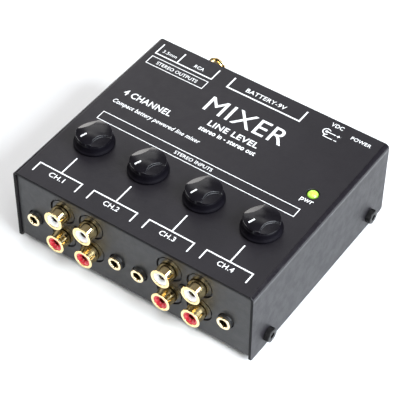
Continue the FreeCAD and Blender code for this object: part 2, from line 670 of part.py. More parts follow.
def power_switch_body():
    """Latching push switch behind the rear panel, hollow for its plunger."""
    x = SWITCH_X
    block = box(x - 4.2, x + 4.2, PANEL_INSIDE - 17.5, PANEL_INSIDE - 4.5, MAIN_TOP, MAIN_TOP + 11.0)
    return block.cut(box(x - 1.8, x + 1.8, PANEL_INSIDE - 16.8, PANEL_INSIDE - 4,
                         POWER_Z - 1.8, POWER_Z + 1.8))


def power_button():
    """Round push button on a square plunger, shown released."""
    x = SWITCH_X
    end = PANEL + BUTTON_REACH
    cap = rod(BUTTON_RADIUS, (x, PANEL_INSIDE - 1.5, POWER_Z), (x, end, POWER_Z))
    rim = [e for e in cap.Edges if abs(e.CenterOfMass.y - end) < 0.01]
    cap = cap.makeFillet(0.6, rim)
    plunger = box(x - 1.6, x + 1.6, PANEL_INSIDE - 10.5, PANEL_INSIDE - 1.5, POWER_Z - 1.6, POWER_Z + 1.6)
    return joined([cap, plunger])


def switch_spring():
    """Return spring at its closed length: its coils pressed together, as one solid."""
    coil = 2 * SPRING_WIRE_RADIUS
    inner = SPRING_RADIUS - SPRING_WIRE_RADIUS
    outer = SPRING_RADIUS + SPRING_WIRE_RADIUS
    waist = SPRING_WIRE_RADIUS / 2
    outside = []
    inside = []
    for k in range(SPRING_COILS):
        start = SPRING_END + k * coil
        steps = ((0.0, waist), (0.25, 0.0), (0.75, 0.0), (1.0, waist))
        outside += [(outer - dip, start + share * coil) for share, dip in steps]
        inside += [(inner + dip, start + share * coil) for share, dip in steps]
    profile = []
    for point in outside + inside[::-1]:
        if point not in profile:
            profile.append(point)
    return turned_y(profile, SWITCH_X, POWER_Z)


def battery_box():
    """Battery housing: a bezel outside the rear panel and a long box behind it."""
    x = BATTERY_X
    half = BATTERY_BOX_WIDTH / 2
    low = MAIN_TOP
    high = MAIN_TOP + BATTERY_BOX_HEIGHT
    middle = (low + high) / 2
    case = box(x - half, x + half, BATTERY_BOX_END, PANEL + BEZEL_PROUD, low, high)
    bezel = box(x - BEZEL_WIDTH / 2, x + BEZEL_WIDTH / 2, PANEL, PANEL + BEZEL_PROUD,
                middle - BEZEL_HEIGHT / 2, middle + BEZEL_HEIGHT / 2)
    rim = [e for e in bezel.Edges if abs(e.CenterOfMass.y - PANEL - BEZEL_PROUD / 2) < 0.01]
    bezel = bezel.makeFillet(1.5, rim)
    wall = BATTERY_WALL
    inside = box(x - half + wall, x + half - wall, BATTERY_BOX_END + wall, PANEL + BEZEL_PROUD + 1,
                 low + wall, high - wall)
    shape = joined([case, bezel]).cut(inside)
    for contact in battery_contact_pair():
        shape = shape.cut(contact)
    return shape


def battery_drawer():
    """Sliding tray with a front plate and a pull lip."""
    x = BATTERY_X
    side = BATTERY_BOX_WIDTH / 2 - BATTERY_WALL - DRAWER_CLEARANCE
    low = MAIN_TOP + BATTERY_WALL + DRAWER_CLEARANCE
    high = MAIN_TOP + BATTERY_BOX_HEIGHT - BATTERY_WALL - DRAWER_CLEARANCE
    face = PANEL + BEZEL_PROUD - 0.3
    tray = box(x - side, x + side, 0.6, face, low, high)
    room = box(x - side + BATTERY_WALL, x + side - BATTERY_WALL, 1.8, face - 1.8,
               low + BATTERY_WALL, high + 1)
    window = box(x - 11.0, x + 11.0, 0, 2.0, low + BATTERY_WALL + 1.5, high + 1)
    lip = box(x - 7.0, x + 7.0, face, face + 1.4, low + 1.0, low + 2.6)
    return joined([tray, lip]).cut(room.fuse(window))


def battery():
    """Nine-volt block battery with two snap terminals at its inner end."""
    x = BATTERY_X
    low = MAIN_TOP + 2 * BATTERY_WALL + DRAWER_CLEARANCE
    high = low + BATTERY_HEIGHT
    outer_end = PANEL + BEZEL_PROUD - 2.2
    inner_end = outer_end - BATTERY_LENGTH
    half = BATTERY_WIDTH / 2
    block = box(x - half, x + half, inner_end, outer_end, low, high)
    long_edges = [e for e in block.Edges if abs(e.Length - BATTERY_LENGTH) < 0.01]
    block = block.makeFillet(1.5, long_edges)
    middle = (low + high) / 2
    studs = [rod(2.9 + 0.9 * k, (x + (k - 0.5) * TERMINAL_SPACING, inner_end - 2.3, middle),
                 (x + (k - 0.5) * TERMINAL_SPACING, inner_end, middle)) for k in (0, 1)]
    return joined([block] + studs)


def battery_contact_pair():
    """Two spring plates at the inner end of the battery housing, with board tails."""
    inner = BATTERY_BOX_END + BATTERY_WALL
    middle = MAIN_TOP + 2 * BATTERY_WALL + DRAWER_CLEARANCE + BATTERY_HEIGHT / 2
    pair = []
    for side in (-0.5, 0.5):
        x = BATTERY_X + side * TERMINAL_SPACING
        plate = box(x - 3.0, x + 3.0, inner, inner + 0.4, MAIN_TOP + BATTERY_WALL, middle + 3.0)
        pad = box(x - 2.0, x + 2.0, inner + 0.4, inner + 3.1, middle + 1.0, middle + 1.5)
        tip = box(x - 2.0, x + 2.0, inner + 2.7, inner + 3.1, middle - 1.5, middle + 1.5)
        tail = box(x - 0.6, x + 0.6, inner, inner + 0.4, MAIN_TOP, MAIN_TOP + BATTERY_WALL)
        pair.append(joined([plate, pad, tip, tail]))
    return pair


def main():
    os.makedirs("parts", exist_ok=True)
    save("cover", cover())
    floor, front, rear = chassis_pieces()
    save("chassis", floor)
    save("front_panel", front)
    save("rear_panel", rear)
    save("cover_screws", cover_screws())
    save("feet", feet())
    save("main_board", main_board())
    save("upper_board", upper_board())
    save("board_pillars", board_pillars())
    save("upper_pillars", upper_pillars())
    save("main_board_screws", board_screws(LONE_PLACES, MAIN_TOP, 4.0))
    save("upper_board_screws", board_screws(STACK_PLACES, UPPER_TOP, 6.0))
    save("board_header", board_header())
    save("amplifier_chips", amplifier_chips())
    for k, x in enumerate(knob_places(), start=1):
        save(f"pot_body_{k}", pot_body(x))
        save(f"pot_shaft_{k}", pot_shaft(x))
        save(f"knob_{k}", knob(x))
    save("power_led", power_led())
    save("led_spacer", led_spacer())

    contacts = []
    for k, x in enumerate(JACK_X, start=1):
        save(f"input_jack_body_{k}", moved(jack_body(), x))
        save(f"input_jack_bush_{k}", moved(jack_bush(), x))
        contacts += [moved(strip, x) for strip in jack_contacts()]
    save("output_jack_body", moved(at_rear(jack_body()), OUTPUT_JACK_X))
    save("output_jack_bush", moved(at_rear(jack_bush()), OUTPUT_JACK_X))
    contacts += [moved(at_rear(strip), OUTPUT_JACK_X) for strip in jack_contacts()]
    save("jack_contacts", group(contacts))

    columns = [-RCA_PITCH / 2, RCA_PITCH / 2]
    centres = []
    for k, x in enumerate(BLOCK_X, start=1):
        save(f"input_rca_body_{k}", moved(rca_body(columns), x))
        save(f"input_rca_shells_{k}", group(
            [rca_shell(x + c, z) for c in columns for z in (RCA_LOW_Z, RCA_HIGH_Z)]))
        for c in columns:
            centres.append(rca_contact(x + c, RCA_HIGH_Z, 2.6))
            centres.append(rca_contact(x + c, RCA_LOW_Z, 0))
    for colour, z in (("white", RCA_HIGH_Z), ("red", RCA_LOW_Z)):
        save(f"input_rca_{colour}_inserts", group(
            [rca_insert(x + c, z) for x in BLOCK_X for c in columns]))
    out = OUTPUT_RCA_REACH
    save("output_rca_body", moved(at_rear(rca_body([0])), OUTPUT_RCA_X))
    save("output_rca_shells", group(
        [moved(at_rear(rca_shell(0, z, out)), OUTPUT_RCA_X) for z in (RCA_LOW_Z, RCA_HIGH_Z)]))
    save("output_rca_white_insert", moved(at_rear(rca_insert(0, RCA_HIGH_Z, out)), OUTPUT_RCA_X))
    save("output_rca_red_insert", moved(at_rear(rca_insert(0, RCA_LOW_Z, out)), OUTPUT_RCA_X))
    centres.append(moved(at_rear(rca_contact(0, RCA_HIGH_Z, 2.6, out)), OUTPUT_RCA_X))
    centres.append(moved(at_rear(rca_contact(0, RCA_LOW_Z, 0, out)), OUTPUT_RCA_X))
    save("rca_contacts", group(centres))
    screws = [moved(rca_body_screw(), x) for x in BLOCK_X]
    screws.append(moved(at_rear(rca_body_screw()), OUTPUT_RCA_X))
    save("rca_body_screws", group(screws))

    save("dc_jack_body", dc_jack_body())
    save("dc_jack_pin", dc_jack_pin())
    save("power_switch_body", power_switch_body())
    save("power_button", power_button())
    save("switch_spring", switch_spring())
    save("battery_box", battery_box())
    save("battery_drawer", battery_drawer())
    save("battery", battery())
    save("battery_contacts", group(battery_contact_pair()))


main()
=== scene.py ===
import json
import math

import bmesh
import bpy
from mathutils import Matrix, Vector


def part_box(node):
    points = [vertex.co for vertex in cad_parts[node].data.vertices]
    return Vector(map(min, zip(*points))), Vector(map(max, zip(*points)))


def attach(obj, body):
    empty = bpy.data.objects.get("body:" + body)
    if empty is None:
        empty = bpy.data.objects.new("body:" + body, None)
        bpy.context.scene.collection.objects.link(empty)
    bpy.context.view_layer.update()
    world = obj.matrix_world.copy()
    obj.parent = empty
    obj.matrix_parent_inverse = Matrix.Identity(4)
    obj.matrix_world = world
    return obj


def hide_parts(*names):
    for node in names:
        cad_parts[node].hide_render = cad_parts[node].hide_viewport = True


# Four-channel stereo line mixer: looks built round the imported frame.
# Pieces are built in millimetres in their own axes, with +Z pointing out of the face that
# they stand on, and are placed in the frame, which is in metres.

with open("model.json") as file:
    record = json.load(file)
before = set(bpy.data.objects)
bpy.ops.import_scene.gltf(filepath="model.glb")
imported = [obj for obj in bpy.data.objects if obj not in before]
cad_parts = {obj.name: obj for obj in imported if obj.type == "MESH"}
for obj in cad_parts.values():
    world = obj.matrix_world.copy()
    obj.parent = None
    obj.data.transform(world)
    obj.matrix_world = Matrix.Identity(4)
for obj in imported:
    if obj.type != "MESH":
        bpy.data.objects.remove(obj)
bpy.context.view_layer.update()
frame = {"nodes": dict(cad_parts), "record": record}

MM = 0.001

# ---- sizes, in millimetres

SHEET = 1.2
CUT_REACH = 3.0
SHARP_ANGLE = 40.0
COVER_BEND = 2.0
CORNER_CLIP = 1.0
EDGE_ROUND = 0.22
CUT_EDGE_BAND = 0.30
CUT_EDGE_FACING = 0.3
PANEL_RELIEF = 0.3
TRAY_EDGE_ROUND = 0.12
FLANGE_SHORT = 1.6
FLANGE_LIFT = 0.3
BEZEL_INSET = 1.6
COVER_SHAFT_HOLE = 4.2
LAMP_HOLE = 2.65
SCREW_HOLE = 1.7
SIDE_HEAD_RADIUS = 3.1
SIDE_HEAD_HEIGHT = 2.4
SIDE_SOCKET_FLATS = 2.5

KNOB_SKIRT = 8.5
KNOB_GRIP = 7.4
KNOB_RIM_BELOW_CROWN = 1.2
KNOB_WALL = 1.1
KNOB_ROOF = 1.9
GRIP_START = 0.62
CROWN_RING_STEP = 0.065
KNOB_SEGMENTS = 288
SCOOP_RADIUS = 6.2
SCOOP_OFFSET = 10.0
SCOOP_TILT = 19.5
SCOOP_DEPTH = 1.15
SCOOP_ANGLES = (156.0, 336.0)
POINTER_ANGLE = 243.0
POINTER_CENTRE = 4.5
POINTER_LENGTH = 2.7
POINTER_WIDTH = 0.66

LAMP_RADIUS = 2.5
LAMP_FLANGE = 2.9
LAMP_BASE = 3.0

PHONO_FLANGE = 4.3
PHONO_BARREL = 4.1
PHONO_NECK = 3.5
PHONO_TAPER = 3.9
PHONO_BORE = 3.15
PHONO_SOCKET = 1.6
PHONO_CONTACT = 2.0
PHONO_HOLE = 6.0
PHONO_BEHIND = 5.0

JACK_REACH = 2.0
JACK_BORE = 1.85
JACK_RING = 3.05
JACK_HOLE = 3.6
PAN_HEAD = 2.6
PAN_HEIGHT = 1.5

DC_HOLE = 4.1
BUTTON_RADIUS = 3.2
BUTTON_HOLE = 3.5
BUTTON_REACH = 4.0
BUTTON_CAP_FOOT = -2.7
PLUNGER_HALF = 1.6

FOOT_RADIUS = 5.0
INK_HEIGHT = 0.035
INK_DEPTH = 0.02
BOX_LINE = 0.34
BRACKET_LINE = 0.6
CAPITAL_SHARE = 0.70
LETTER_SPACING = 1.06

# ---- places, from the frame


def box_mm(node):
    """Lowest and highest corner of a CAD node, in millimetres."""
    low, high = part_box(node)
    return low / MM, high / MM


def middle_mm(node):
    """Centre of a CAD node's box, in millimetres."""
    low, high = box_mm(node)
    return (low + high) / 2


COVER_LOW, COVER_HIGH = box_mm("cover")
PANEL_LOW, PANEL_HIGH = box_mm("front_panel")
TRAY_LOW, TRAY_HIGH = box_mm("chassis")
FRONT = PANEL_LOW.y
REAR = box_mm("rear_panel")[1].y
TOP = COVER_HIGH.z
MIDDLE_Y = (COVER_LOW.y + COVER_HIGH.y) / 2
KNOBS = [middle_mm(f"knob_{k}") for k in range(1, 5)]
LAMP = middle_mm("power_led")
SCREW_LOW, SCREW_HIGH = box_mm("cover_screws")


def phono_places(node):
    """(x, z) of the phono sockets in one node of shells."""
    low, high = box_mm(node)
    columns = sorted({round(low.x + PHONO_FLANGE, 3), round(high.x - PHONO_FLANGE, 3)})
    return [(x, z) for x in columns for z in (low.z + PHONO_FLANGE, high.z - PHONO_FLANGE)]


# ---- axes of each face

FACES = {
    "top": ((1, 0, 0), (0, 1, 0), (0, 0, 1)),
    "front": ((1, 0, 0), (0, 0, 1), (0, -1, 0)),
    "rear": ((-1, 0, 0), (0, 0, 1), (0, 1, 0)),
    "right": ((0, 1, 0), (0, 0, 1), (1, 0, 0)),
    "left": ((0, -1, 0), (0, 0, 1), (-1, 0, 0)),
}


def placed(face, x, y, z):
    """Matrix that stands a piece on a face at a point given in millimetres."""
    turn = Matrix(FACES[face]).transposed().to_4x4()
    return Matrix.Translation(Vector((x, y, z)) * MM) @ turn


# ---- mesh building


def linked(name, data):
    """New object in the scene."""
    obj = bpy.data.objects.new(name, data)
    bpy.context.scene.collection.objects.link(obj)
    return obj


def smooth_mesh(mesh, sharp):
    """Shade smooth, with edges over the given angle kept sharp."""
    mesh.polygons.foreach_set("use_smooth", [True] * len(mesh.polygons))
    mesh.set_sharp_from_angle(angle=math.radians(sharp))
    mesh.update()
    return mesh


def mesh_of(name, points, faces, sharp=35.0):
    """Mesh from points in millimetres, with outward normals."""
    mesh = bpy.data.meshes.new(name)
    mesh.from_pydata([Vector(p) * MM for p in points], [], faces)
    work = bmesh.new()
    work.from_mesh(mesh)
    bmesh.ops.recalc_face_normals(work, faces=work.faces)
    work.to_mesh(mesh)
    work.free()
    return smooth_mesh(mesh, sharp)


def rounded(profile, closed):
    """Profile points (radius, height) with each corner rounded by its third value."""
    steps = 4
    count = len(profile)
    result = []
    for i, (radius, height, corner) in enumerate(profile):
        here = Vector((radius, height))
        if corner <= 0 or (not closed and i in (0, count - 1)):
            result.append(here)
            continue
        before = Vector(profile[i - 1][:2]) - here
        after = Vector(profile[(i + 1) % count][:2]) - here
        reach = min(corner, before.length * 0.49, after.length * 0.49)
        start = here + before.normalized() * reach
        end = here + after.normalized() * reach
        for k in range(steps + 1):
            t = k / steps
            result.append(start * (1 - t) ** 2 + here * 2 * t * (1 - t) + end * t ** 2)
    return result


class Rings:
    """Rings of points about Z, joined into a mesh from the first to the last."""

    def __init__(self, segments):
        self.segments = segments
        self.points = []
        self.rings = []

    def tip(self, height):
        """Single point on the axis."""
        self.rings.append([len(self.points)])
        self.points.append((0, 0, height))

    def ring(self, radius, height):
        """Ring; the radius may be a function of (index, turn), the height one of (x, y)."""
        self.rings.append(list(range(len(self.points), len(self.points) + self.segments)))
        for s in range(self.segments):
            turn = 2 * math.pi * s / self.segments
            reach = radius(s, turn) if callable(radius) else radius
            x, y = reach * math.cos(turn), reach * math.sin(turn)
            self.points.append((x, y, height(x, y) if callable(height) else height))

    def mesh(self, name, sharp, closed=False):
        following = self.rings[1:] + self.rings[:1] if closed else self.rings[1:]
        faces = ring_faces(zip(self.rings, following), self.segments)
        return mesh_of(name, self.points, faces, sharp)


def lathe(name, profile, segments, closed=True, sharp=40.0):
    """Mesh turned about Z. A closed profile makes a ring; an open one ends on the axis."""
    rings = Rings(segments)
    for point in rounded(profile, closed):
        if point.x < 1e-6:
            rings.tip(point.y)
        else:
            rings.ring(point.x, point.y)
    return rings.mesh(name, sharp, closed)


def ring_faces(pairs, segments):
    """Faces between pairs of rings; a ring of one point is a pole."""
    faces = []
    for low, high in pairs:
        for s in range(segments):
            t = (s + 1) % segments
            if len(low) == 1:
                faces.append((low[0], high[t], high[s]))
            elif len(high) == 1:
                faces.append((low[s], low[t], high[0]))
            else:
                faces.append((low[s], low[t], high[t], high[s]))
    return faces


def rectangle(left, right, low, high):
    """Corners of a rectangle, from its lower left."""
    return [(left, low), (right, low), (right, high), (left, high)]


def prism(name, outline, start, end, axis):
    """Closed prism of an outline, drawn in the plane across the axis."""
    count = len(outline)
    order = {"x": (2, 0, 1), "y": (0, 2, 1), "z": (0, 1, 2)}[axis]
    points = []
    for level in (start, end):
        for u, v in outline:
            flat = (u, v, level)
            points.append(tuple(flat[i] for i in order))
    faces = [tuple(range(count)), tuple(range(count, 2 * count))]
    for i in range(count):
        j = (i + 1) % count
        faces.append((i, j, count + j, count + i))
    return mesh_of(name, points, faces)


def round_outline(radius, x=0.0, y=0.0, segments=48):
    """Circle as a list of points."""
    turns = [2 * math.pi * s / segments for s in range(segments)]
    return [(x + radius * math.cos(t), y + radius * math.sin(t)) for t in turns]


def arc(x, y, radius, start, end, steps=6):
    """Points along an arc, angles in degrees."""
    turns = [math.radians(start + (end - start) * k / steps) for k in range(steps + 1)]
    return [(x + radius * math.cos(t), y + radius * math.sin(t)) for t in turns]


def merged(name, meshes):
    """One mesh from several separate ones."""
    work = bmesh.new()
    for mesh in meshes:
        work.from_mesh(mesh)
    result = bpy.data.meshes.new(name)
    work.to_mesh(result)
    work.free()
    for mesh in meshes:
        bpy.data.meshes.remove(mesh)
    return result


def carved(mesh, cutter, operation="DIFFERENCE"):
    """The mesh cut by, or joined with, another one."""
    name = mesh.name
    body = linked("carved_body", mesh)
    tool = linked("carving_tool", cutter)
    cut = body.modifiers.new("cut", "BOOLEAN")
    cut.operation = operation
    cut.solver = "EXACT"
    cut.object = tool
    bpy.context.view_layer.update()
    result = bpy.data.meshes.new_from_object(
        body.evaluated_get(bpy.context.evaluated_depsgraph_get()))
    for obj in (body, tool):
        bpy.data.objects.remove(obj)
    for used in (mesh, cutter):
        bpy.data.meshes.remove(used)
    result.name = name
    return result


def softened(mesh, width, segments=2):
    """The mesh with its sharp edges rounded off."""
    work = bmesh.new()
    work.from_mesh(mesh)
    bmesh.ops.remove_doubles(work, verts=work.verts, dist=0.002 * MM)
    bmesh.ops.dissolve_limit(work, angle_limit=math.radians(0.5), verts=work.verts,
                             edges=work.edges)
    limit = math.radians(SHARP_ANGLE)
    edges = [e for e in work.edges if e.is_manifold and e.calc_face_angle(0) > limit]
    bmesh.ops.bevel(work, geom=edges, offset=width * MM, segments=segments, profile=0.5,
                    affect="EDGES", clamp_overlap=True)
    work.to_mesh(mesh)
    work.free()
    return smooth_mesh(mesh, 50.0)


# ---- placing pieces


def piece(name, mesh, body, slot, place=None, stands_for=(), look=None):
    """Link a mesh as one piece, with the material of its slot or look, its body, and the CAD nodes
    it stands for hidden.
    """
    if not mesh.materials:
        mesh.materials.append(LOOKS[look or slot])
    obj = linked(name, mesh)
    if place is not None:
        obj.matrix_world = place
    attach(obj, body)
    if stands_for:
        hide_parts(*stands_for)
    return obj


def flat_shading(obj):
    """Keep large flat faces flat beside their rounded edges."""
    weighted = obj.modifiers.new("flat_faces", "WEIGHTED_NORMAL")
    weighted.keep_sharp = True
    weighted.weight = 100


# ---- material building


class Nodes:
    """Short ways to add and wire the nodes of one tree."""

    def __init__(self, tree):
        self.tree = tree

    def feed(self, socket, value):
        """Link an output to a socket, or set the socket to a number or colour."""
        if isinstance(value, bpy.types.NodeSocket):
            self.tree.links.new(value, socket)
        else:
            socket.default_value = value

    def add(self, kind, **inputs):
        node = self.tree.nodes.new("ShaderNode" + kind)
        for key, value in inputs.items():
            self.feed(node.inputs[key.replace("_", " ")], value)
        return node

    def math(self, operation, a, b=0.0):
        node = self.add("Math")
        node.operation = operation
        self.feed(node.inputs[0], a)
        self.feed(node.inputs[1], b)
        return node.outputs["Value"]

    def product(self, a, b):
        return self.math("MULTIPLY", a, b)

    def spread(self, value, low, high, to_low=0.0, to_high=1.0):
        """Value taken from low..high to another range, smoothly and clamped."""
        node = self.add("MapRange", Value=value, From_Min=low, From_Max=high, To_Min=to_low,
                        To_Max=to_high)
        node.interpolation_type = "SMOOTHSTEP"
        return node.outputs["Result"]


class Look(Nodes):
    """One procedural material, with its patterns laid out in millimetres."""

    def __init__(self, name, **sockets):
        self.material = bpy.data.materials.new(name)
        self.material.use_nodes = True
        super().__init__(self.material.node_tree)
        self.shader = self.tree.nodes["Principled BSDF"]
        for key, value in sockets.items():
            self.shader.inputs[key.replace("_", " ")].default_value = value
        self.place = self.add("TexCoord").outputs["Object"]
        self.place = self.stretched(1 / MM, 1 / MM, 1 / MM)

    def stretched(self, x, y, z):
        """Coordinates stretched along the axes."""
        return self.add("Mapping", Vector=self.place, Scale=(x, y, z)).outputs["Vector"]

    def noise(self, per_mm, detail=3.0, rough=0.5, vector=None):
        place = self.place if vector is None else vector
        node = self.add("TexNoise", Vector=place, Scale=per_mm, Detail=detail, Roughness=rough)
        return node.outputs["Fac"]

    def drift(self, per_mm, detail=3.0, rough=0.5, low=0.0, high=1.0):
        """Number that drifts from place to place between two values."""
        return self.spread(self.noise(per_mm, detail, rough), 0.3, 0.7, low, high)

    def cells(self, per_mm):
        return self.add("TexVoronoi", Vector=self.place, Scale=per_mm).outputs["Distance"]

    def axis(self, name):
        return self.add("SeparateXYZ", Vector=self.place).outputs[name]

    def blend(self, share, first, second):
        """Colour between two; each is a colour or an output."""
        node = self.add("Mix")
        node.data_type = "RGBA"
        # Sockets 6 and 7 and output 2 are the Mix node's colours.
        for index, value in ((0, share), (6, first), (7, second)):
            self.feed(node.inputs[index], (*value, 1.0) if isinstance(value, tuple) else value)
        return node.outputs[2]

    def drive(self, name, output):
        """Link an output to one of the shader's sockets."""
        self.tree.links.new(output, self.shader.inputs[name])

    def colour(self, output):
        self.drive("Base Color", output)

    def roughness(self, output):
        self.drive("Roughness", output)

    def patchy(self, low, high, per_mm, detail=3.0, rough=0.5):
        """Roughness that drifts from place to place."""
        self.roughness(self.drift(per_mm, detail, rough, low, high))

    def bump(self, *layers):
        """Stack bump layers, each (height, depth in millimetres)."""
        normal = None
        for height, depth in layers:
            node = self.add("Bump", Strength=1.0, Distance=depth * MM, Height=height)
            if normal is not None:
                self.feed(node.inputs["Normal"], normal)
            normal = node.outputs["Normal"]
        self.drive("Normal", normal)

    def orange_peel(self):
        """Surface of sprayed and baked powder."""
        self.bump((self.noise(1.1, 2.0), 0.030), (self.noise(5.5, 3.0, 0.6), 0.006))


# ---- materials


def powder_coat():
    """Satin black powder coat, rubbed and polished by handling along the upper bends."""
    look = Look("powder_coat")
    tone = look.spread(look.noise(0.045, 4.0, 0.55), 0.35, 0.65)
    base = look.blend(tone, (0.0078, 0.0064, 0.0090), (0.0100, 0.0084, 0.0114))
    half = COVER_HIGH.x
    across = look.math("ABSOLUTE", look.axis("X"))
    height = look.axis("Z")
    bend = look.product(look.spread(across, half - 1.3, half - 0.5),
                        look.spread(height, TOP - 2.6, TOP - 1.2))
    speckle = look.spread(look.noise(1.3, 5.0, 0.7), 0.52, 0.72)
    rubbed = look.product(look.product(bend, speckle), 0.35)
    look.colour(look.blend(rubbed, base, (0.085, 0.085, 0.09)))
    polished = look.product(look.spread(across, half - 2.6, half - 1.6),
                            look.spread(height, TOP - 3.4, TOP - 1.6))
    worn = look.math("ADD", look.product(polished, 0.29), look.product(rubbed, 0.15))
    look.roughness(look.math("SUBTRACT", look.drift(0.25, 3.0, 0.6, 0.43, 0.52), worn))
    look.orange_peel()
    return look.material


def shaded_cut_edge():
    """Thin matt coat on the cover's cut front and rear edges, darker than the cover's coat: partly
    the thin coat, partly painted shade of the gap above the panel.
    """
    look = Look("shaded_cut_edge", Specular_IOR_Level=0.10)
    tone = look.spread(look.noise(0.8, 3.0, 0.6), 0.35, 0.65)
    # Near-black colour: painted shade of the recess gap between cover and panel, on top of the
    # thin coat's own darkness.
    look.colour(look.blend(tone, (0.0030, 0.0028, 0.0034), (0.0055, 0.0050, 0.0060)))
    look.patchy(0.42, 0.56, 1.6, 3.0, 0.6)
    look.bump((look.noise(2.6, 3.0, 0.6), 0.012))
    return look.material


def lit_panel_coat():
    """The same coat on the tray, whose panels are handled less; its base is a lighter, more
    neutral copy of the cover's, which is painted light.
    """
    look = Look("lit_panel_coat")
    tone = look.spread(look.noise(0.06, 4.0, 0.55), 0.35, 0.65)
    # Base lighter and more neutral than the cover's coat: painted light on the tray's panels.
    base = look.blend(tone, (0.0115, 0.0112, 0.0126), (0.0145, 0.0141, 0.0156))
    scuff = look.spread(look.noise(0.5, 6.0, 0.75, look.stretched(0.25, 1, 1.6)), 0.66, 0.8)
    look.colour(look.blend(look.product(scuff, 0.35), base, (0.07, 0.07, 0.075)))
    look.patchy(0.40, 0.50, 0.3, 3.0, 0.6)
    look.orange_peel()
    return look.material


def moulded(name, dark, light, rough):
    """Moulded plastic with a fine grain and slight sheen changes."""
    look = Look(name)
    look.colour(look.blend(look.drift(0.12), dark, light))
    look.patchy(rough - 0.05, rough + 0.06, 0.6, 4.0, 0.6)
    look.bump((look.noise(2.5, 4.0, 0.6), 0.012), (look.noise(10.0, 2.0), 0.003))
    return look.material


def plated(name, dark, light, rough):
    """Bright plated metal with faint turning lines and thin tarnish."""
    look = Look(name, Metallic=1.0)
    tarnish = look.spread(look.noise(0.35, 5.0, 0.65), 0.4, 0.75)
    look.colour(look.blend(tarnish, light, dark))
    lines = look.noise(1.0, 2.0, 0.5, look.stretched(0.05, 0.05, 9.0))
    look.roughness(look.spread(look.noise(0.8, 4.0, 0.6), 0.35, 0.8, rough, rough + 0.08))
    look.bump((lines, 0.004), (look.noise(3.0), 0.002))
    return look.material


def brushed(name, dark, light, rough, stretch):
    """Zinc-plated or brushed metal with long fine scratches."""
    look = Look(name, Metallic=1.0)
    grain = look.noise(1.6, 6.0, 0.7, look.stretched(*stretch))
    look.colour(look.blend(look.spread(grain, 0.3, 0.7), dark, light))
    look.patchy(rough - 0.06, rough + 0.08, 0.5, 4.0)
    look.bump((grain, 0.008))
    return look.material


def black_oxide():
    """Oiled black oxide on steel screws, bright where a key has rubbed it."""
    look = Look("black_oxide", Metallic=0.85)
    rubbed = look.spread(look.noise(0.9, 6.0, 0.75), 0.60, 0.78)
    look.colour(look.blend(rubbed, (0.030, 0.029, 0.030), (0.10, 0.095, 0.09)))
    look.patchy(0.30, 0.46, 1.5, 4.0)
    look.bump((look.noise(3.5, 5.0, 0.65), 0.012))
    return look.material


def knob_plastic():
    """Black plastic with a fine spark-eroded grain: glossy crown, matt skirt."""
    look = Look("knob_black")
    look.colour(look.blend(look.drift(0.2), (0.0026, 0.0021, 0.0036), (0.0044, 0.0037, 0.0060)))
    low, high = box_mm("knob_1")
    tall = high.z - low.z
    crown = look.spread(look.axis("Z"), tall * 0.45, tall * 0.68)
    matt = look.product(look.math("SUBTRACT", 1.0, crown), 0.36)
    look.roughness(look.math("ADD", look.drift(0.7, 5.0, 0.6, 0.17, 0.24), matt))
    look.drive("Specular IOR Level", look.math("ADD", look.product(crown, 0.42), 0.05))
    look.bump((look.noise(1.6, 4.0, 0.6), 0.010), (look.noise(7.0, 2.0), 0.004))
    return look.material


def ink(name, tone, rough):
    """Screen-printed ink: a little uneven in cover and height."""
    look = Look(name)
    thin = look.spread(look.noise(2.2, 5.0, 0.7), 0.55, 0.85)
    worn = tuple(channel * 0.82 for channel in tone)
    look.colour(look.blend(thin, tone, worn))
    look.patchy(rough - 0.05, rough + 0.08, 1.0)
    look.bump((look.noise(4.0), 0.008))
    return look.material


def lamp_epoxy():
    """Lit green epoxy: bright at the tip, deep green where it meets the panel."""
    look = Look("lamp_epoxy", Transmission_Weight=0.15, IOR=1.52)
    lit = look.spread(look.axis("Z"), TOP - 1.3, TOP + 0.55)
    mottle = look.spread(look.noise(1.2, 4.0), 0.2, 0.8, 0.85, 1.0)
    look.colour(look.blend(lit, (0.02, 0.10, 0.01), (0.30, 0.55, 0.07)))
    look.drive("Emission Color", look.blend(lit, (0.035, 0.16, 0.004), (0.56, 0.95, 0.09)))
    look.drive("Emission Strength", look.product(look.spread(lit, 0.0, 1.0, 0.12, 0.95), mottle))
    look.patchy(0.14, 0.24, 2.0)
    look.bump((look.noise(2.5), 0.006))
    return look.material


def insulator(name, deep, light):
    """Glossy insulator plastic, a little translucent."""
    look = Look(name, Subsurface_Weight=0.12, Subsurface_Scale=0.4 * MM, Coat_Weight=0.25,
                Coat_Roughness=0.12)
    look.colour(look.blend(look.drift(0.5, 4.0), deep, light))
    look.patchy(0.24, 0.34, 0.9, 4.0)
    look.bump((look.noise(1.8, 4.0), 0.008))
    return look.material


def rubber():
    """Matte black rubber with dust in its pores."""
    look = Look("foot_rubber")
    pores = look.spread(look.cells(1.8), 0.02, 0.22)
    dust = look.product(look.spread(look.noise(0.7, 5.0, 0.7), 0.5, 0.8), 0.5)
    base = look.blend(pores, (0.008, 0.008, 0.008), (0.022, 0.022, 0.021))
    look.colour(look.blend(dust, base, (0.06, 0.057, 0.052)))
    look.patchy(0.68, 0.86, 1.0)
    look.bump((pores, 0.03), (look.noise(4.0, 4.0), 0.02))
    return look.material


def solder_mask():
    """Green circuit board with darker tracks under the mask and small pads."""
    look = Look("solder_mask")
    track = look.add("TexBrick", Vector=look.place, Scale=1.0, Mortar_Size=0.16,
                     Mortar_Smooth=0.2, Brick_Width=5.1, Row_Height=1.27).outputs["Fac"]
    base = look.blend(look.drift(0.3, 4.0), (0.010, 0.085, 0.030), (0.016, 0.125, 0.045))
    tracks = look.blend(track, base, (0.006, 0.052, 0.018))
    pads = look.spread(look.cells(0.39), 0.10, 0.13, 1.0, 0.0)
    look.colour(look.blend(pads, tracks, (0.55, 0.53, 0.50)))
    look.patchy(0.26, 0.40, 0.6)
    look.bump((track, 0.035), (look.noise(3.0, 4.0), 0.012))
    return look.material


